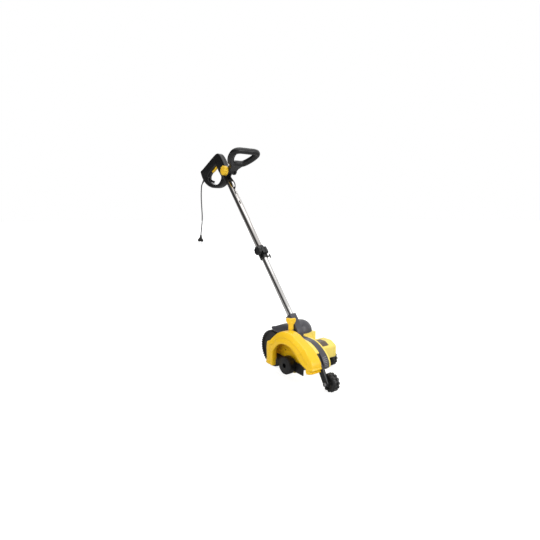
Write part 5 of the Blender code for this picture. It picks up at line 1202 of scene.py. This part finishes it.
KNOB_FOOT, STEM, HEAD = 0.2353, 0.030, 0.027
neck_z, knob_top = KNOB_FOOT + STEM, KNOB_FOOT + STEM + HEAD
half = ((0.0130, neck_z - 0.004, 0.003), (0.0235, knob_top - 0.015, 0.006),
        (0.0235, knob_top + 0.0003, 0.006))
(low_x, low_z, low_r), *upper_half = half
head = rounded(((-low_x, low_z, low_r), *half, (0, knob_top - 0.0035, 0.004),
                *[(-x, z, radius) for x, z, radius in upper_half[::-1]]))
wing = plate("wing", [head], -0.0097, 0.0097, edge=0.0035)
stem = turned("stem", drum(0.0127, KNOB_FOOT, neck_z + 0.008), Matrix.Identity(4), 48)
knob = melted([wing, stem], 0.0008, 8)
knob.transform(KNOB @ Matrix.Rotation(math.radians(50.0), 4, "Z"))
stud_bore = turned("stud bore", drum(STUD_HOLE, 0.20, 0.2573), KNOB, 32)
foot_cut = brick("foot", (0.1, -0.1, 0.2), (0.25, 0.1, KNOB_FOOT))
place("depth_knob", cut_out(knob, stud_bore, foot_cut), YELLOW_GRIP, "depth_knob", "depth_knob", smooth=50)

# %% [markdown]
# The front wheel's arm and the other wheels' brackets keep their CAD shape, with soft edges. The
# axles are turned again, with a riveted head at each end.

# %% Front arm, brackets and axles
dress("front_arm", BLACK, 0.0014)
dress("rear_fork", BLACK, 0.0012)
dress("left_bracket", IRON, 0.0005)
REAR_AXLE = ((0, 0.0331), (0.0060, 0.0331), (0.0080, 0.0318), (0.0080, 0.0291), (0.0050, 0.0291),
             (0.0050, -0.0291), (0.0080, -0.0291), (0.0080, -0.0318), (0.0060, -0.0331), (0, -0.0331))
FRONT_AXLE = ((0, 0.0223), (0.0055, 0.0223), (0.0070, 0.0210), (0.0070, 0.0173), (0.0040, 0.0173),
              (0.0040, -0.0353), (0.0090, -0.0353), (0.0090, -0.0380), (0.0070, -0.0393), (0, -0.0393))
for name, profile, centre in (("rear_axle", REAR_AXLE, hub), ("front_axle", FRONT_AXLE, FRONT_WHEEL)):
    place(name, turned(name, profile, axle(centre), 40), STEEL, body_of(name), name)
dress("left_axle", STEEL, 0.0004)


# %% [markdown]
# The loop handle is moulded in two halves that meet at a seam down its middle. It is hollow, for
# the switch and the wires, so the rooms are cut as in the CAD and the outside gets a fuller round.

# %% Rear loop handle
def inset(outline, distance):
    """A closed outline drawn in by a distance, or out if it is negative."""
    area = sum(a[0] * b[1] - b[0] * a[1] for a, b in zip(outline, outline[1:] + outline[:1]))
    side = distance if area > 0 else -distance
    moved = []
    for k, here in enumerate(outline):
        here = Vector(here)
        into = (here - Vector(outline[k - 1])).normalized()
        out = (Vector(outline[(k + 1) % len(outline)]) - here).normalized()
        normal = (Vector((-into.y, into.x)) + Vector((-out.y, out.x))).normalized()
        moved.append(tuple(here + normal * side / max(0.5, normal.dot(Vector((-into.y, into.x))))))
    return moved


def cutter_rod(start, end, radius):
    """A round bar between two points."""
    start, end = Vector(start), Vector(end)
    turn = (end - start).to_track_quat("Z", "Y").to_matrix().to_4x4()
    return turned("rod", drum(radius, 0, (end - start).length), Matrix.Translation(start) @ turn, 48)


def across_rod(centre, low, high, radius):
    """A round bar along Y, from low to high, through a centre."""
    return cutter_rod((centre.x, low, centre.z), (centre.x, high, centre.z), radius)


HANDLE_OUTER = (
    (-0.540, 1.137), (-0.577, 1.124), (-0.642, 1.093), (-0.702, 1.064), (-0.735, 1.049), (-0.733, 1.035),
    (-0.719, 1.010), (-0.695, 0.984), (-0.662, 0.962), (-0.620, 0.946), (-0.576, 0.939), (-0.534, 0.938),
    (-0.495, 0.944), (-0.462, 0.960), (-0.438, 0.985), (-0.418, 1.006), (-0.396, 1.0115),
    (-0.3885, 1.0275), (-0.397, 1.044), (-0.424, 1.052), (-0.450, 1.064), (-0.467, 1.088),
    (-0.489, 1.114), (-0.513, 1.132),
)
HANDLE_HOLE = (
    (-0.553, 1.067), (-0.600, 1.043), (-0.636, 1.023), (-0.649, 1.006), (-0.639, 0.988), (-0.606, 0.969),
    (-0.566, 0.958), (-0.530, 0.961), (-0.504, 0.975), (-0.490, 0.996), (-0.502, 1.014), (-0.521, 1.034),
    (-0.538, 1.056),
)
HOOK = ((-0.659, 1.006), (-0.656, 0.989), (-0.638, 0.984), (-0.610, 0.9765), (-0.588, 0.9715),
        (-0.583, 0.980), (-0.606, 0.9875), (-0.632, 0.996), (-0.645, 1.005))
TRIGGER_SLOT = ((-0.5500, 1.0910), (-0.5500, 1.0500), (-0.5700, 1.0380), (-0.6150, 1.0160), (-0.6190, 1.0380),
                (-0.6080, 1.0740), (-0.5680, 1.0950))
SLEEVE = ((0, 0.977), (0.0200, 0.977), (0.0212, 0.9782), (0.0212, 0.9830), (0.0204, 0.9836), (0.0204, 0.9850),
          (0.0212, 0.9856), (0.0212, 1.081), (0, 1.081))  # radius, and height along the tube
HANDLE_HALF, HANDLE_WALL = 0.0175, 0.0032
AUX_PIVOT = Vector((-0.409, 0.0, 1.0275))
LOCK_BUTTON = Vector((-0.600, 0.0, 1.0915))


def half_handle(name, side):
    """One half of the loop handle, side -1 near or 1 far."""
    outer, hole = through(HANDLE_OUTER), through(HANDLE_HOLE)
    shape = plate(name, [outer, hole], -HANDLE_HALF, HANDLE_HALF, edge=0.0085, rounds=5)
    room = plate("room", [inset(outer, HANDLE_WALL), inset(hole, -HANDLE_WALL)], HANDLE_WALL - HANDLE_HALF,
                 HANDLE_HALF - HANDLE_WALL)
    keep = turned("keep", drum(0.0212, 0.947, 1.085), TUBE, 48)
    room = cut_out(room, keep, across_rod(AUX_PIVOT, -0.05, 0.05, 0.009))
    lead_hole = [TUBE @ Vector((LEAD_FRONT, 0, LEAD_TOP + rise)) for rise in (-0.018, GAP)]
    cuts = [room, turned("tube", drum(0.0178, 0.96, 1.0753), TUBE, 64),
            across_rod(AUX_PIVOT, -0.1, 0.1, 0.0043),
            plate("trigger slot", [TRIGGER_SLOT], -0.0063, 0.0063),
            cutter_rod(CORD_EXIT - CORD_LEAVES * 0.012, CORD_EXIT + CORD_LEAVES * 0.02, 0.0068),
            cutter_rod(*lead_hole, LEAD_RADIUS + GAP)]
    if side > 0:
        cuts.append(across_rod(LOCK_BUTTON, 0.005, 0.03, 0.0068))
    low, high = sorted((-side * 0.1, side * 0.00015))
    seam = plate("seam", [inset(outer, -0.002), inset(outer, 0.0009)],
                 *sorted((-side * 0.002, side * 0.0006)))
    cuts += [brick("other half", (-1, low, 0.8), (0, high, 1.3)), seam]
    half = cut_out(united(shape, turned("sleeve", SLEEVE, TUBE, 64)), *cuts)
    if side < 0:
        half = joined(name, half, plate("hook", [through(HOOK, 4)], -0.007, -0.0010, edge=0.0012))
    return half


for name, side in (("handle_near", -1), ("handle_far", 1)):
    place(name, half_handle(name, side), BLACK, "upper", name, smooth=40)

# %% [markdown]
# The trigger hangs from a pin in the grip, and the lock button beside it is pushed in with a thumb.
# The switch behind them keeps its CAD shape.

# %% Trigger, lock button and switch
TRIGGER_OUTLINE = ((-0.5535, 1.0855), (-0.5555, 1.0620), (-0.5640, 1.0500), (-0.5800, 1.0410),
                   (-0.6040, 1.0310), (-0.6110, 1.0385), (-0.6050, 1.0600), (-0.5900, 1.0690),
                   (-0.5660, 1.0890))
blade = plate("trigger", [TRIGGER_OUTLINE], -0.0060, 0.0060, edge=0.0022, rounds=4)
pin = turned("pin", drum(0.0025, -0.0142, 0.0142), axle((-0.560, 0, 1.083)), 24)
place("trigger", joined("trigger", blade, pin), YELLOW, "trigger", "trigger")
button = [(0, 0.0100), (0.0065, 0.0100), (0.0065, 0.0196), (0.0058, 0.0206), (0.0046, 0.0209),
          (0.0040, 0.0205), (0.0034, 0.0205), (0.0028, 0.0209), (0.0018, 0.0210), (0, 0.0210)]
place("lock_button", turned("lock_button", button, axle(LOCK_BUTTON), 40), YELLOW, "lock_button",
      "lock_button")
dress("power_switch", PITCH, 0.0006)

# %% [markdown]
# The D handle's loop is thickest where the hand closes round it. Its stem forks over a lug on the
# rear handle, and a lobed knob clamps it at any lean. Both are made upright and then leaned.

# %% D handle and its knob
AUX = Matrix.Translation(AUX_PIVOT) @ Matrix.Rotation(math.radians(-28.0), 4, "Y")
AUX_LOOP = ((0.191, -0.052), (0.192, 0.0), (0.191, 0.052), (0.176, 0.073), (0.144, 0.072), (0.110, 0.060),
            (0.080, 0.038), (0.071, 0.0), (0.080, -0.038), (0.110, -0.060), (0.144, -0.072), (0.176, -0.073))
AUX_STEM = ((0.004, -0.0302), (0.040, -0.0300), (0.066, -0.0400), (0.090, -0.0540), (0.090, 0.0540),
            (0.066, 0.0400), (0.040, 0.0300), (0.004, 0.0302))
AUX_HUB = ((0, -0.0302), (0.0195, -0.0302), (0.0212, -0.0285), (0.0212, 0.0285), (0.0195, 0.0302),
           (0, 0.0302))
loop = through([(u, y, 0) for u, y in AUX_LOOP])
sections = []
for u, _, _ in loop:
    grip = smooth_step(u, 0.160, 0.186)
    wide, thick = 0.0190 - 0.0030 * grip, 0.0165 + 0.0008 * grip
    turns = [2 * math.pi * k / 28 for k in range(28)]
    sections.append([(wide * math.cos(turn), thick * math.sin(turn)) for turn in turns])
ring = swept("loop", loop, sections, closed=True, up=(0, 0, 1))
stem = plate("stem", [AUX_STEM], -0.0127, 0.0127, way=PLAN, edge=0.005, rounds=4)
handle = melted([ring, stem, turned("hub", AUX_HUB, TO_Y, 48)], 0.0012, 6)
faces = [brick("faces", (-0.03, low, -0.05), (0.028, high, 0.05))
         for low, high in ((-0.06, -0.03), (0.03, 0.06))]
handle = cut_out(handle, turned("fork", drum(0.0225, -0.0183, 0.0183), TO_Y, 64),
                 turned("bolt", drum(0.0043, -0.1, 0.1), TO_Y, 32), *faces)
handle.transform(AUX)
place("aux_handle", handle, BLACK, "aux_handle", "aux_handle", smooth=50)
aux_knob = knob_mesh("aux_knob", 0, 0, 0.0270, 10, 0.07, -0.0533, -0.0303, 0.020, 0.0, 0.0030)
aux_knob.transform(AUX)
place("aux_knob", aux_knob, YELLOW_GRIP, "aux_knob", "aux_knob")

# %% [markdown]
# What is inside keeps its CAD shape. It still gets real finishes, because a library part may be
# opened or shown without its casings.

# %% Inner pieces
INNER = {
    STEEL: ("arbor_shaft", "blade_flange", "driven_gear", "motor_pinion", "motor_shaft", "arbor_bearing_near",
            "arbor_bearing_far", "motor_bearing_inner", "motor_bearing_outer", "arm_pivot", "depth_stud",
            "clamp_bolt", "aux_bolt"),
    IRON: ("rotor_core", "stator"),
    COPPER: ("commutator",),
    PITCH: ("cooling_fan",),
}
for look, nodes in INNER.items():
    for node in nodes:
        mesh = frame["nodes"][node].data
        mesh.materials.clear()
        mesh.materials.append(look[0])
    print(look[0].name, "on", len(nodes), "inner pieces")

# %% [markdown]
# The finished pieces should fill the same box as the CAD model, so both boxes are written down.

# %% Sizes
json.dump({"cad": [list(corner) for corner in cad_box], "visual": [list(corner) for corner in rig.bounds()]},
          open("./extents.json", "w"))
print("CAD box", [[round(value, 4) for value in corner] for corner in cad_box])

# %% [markdown]
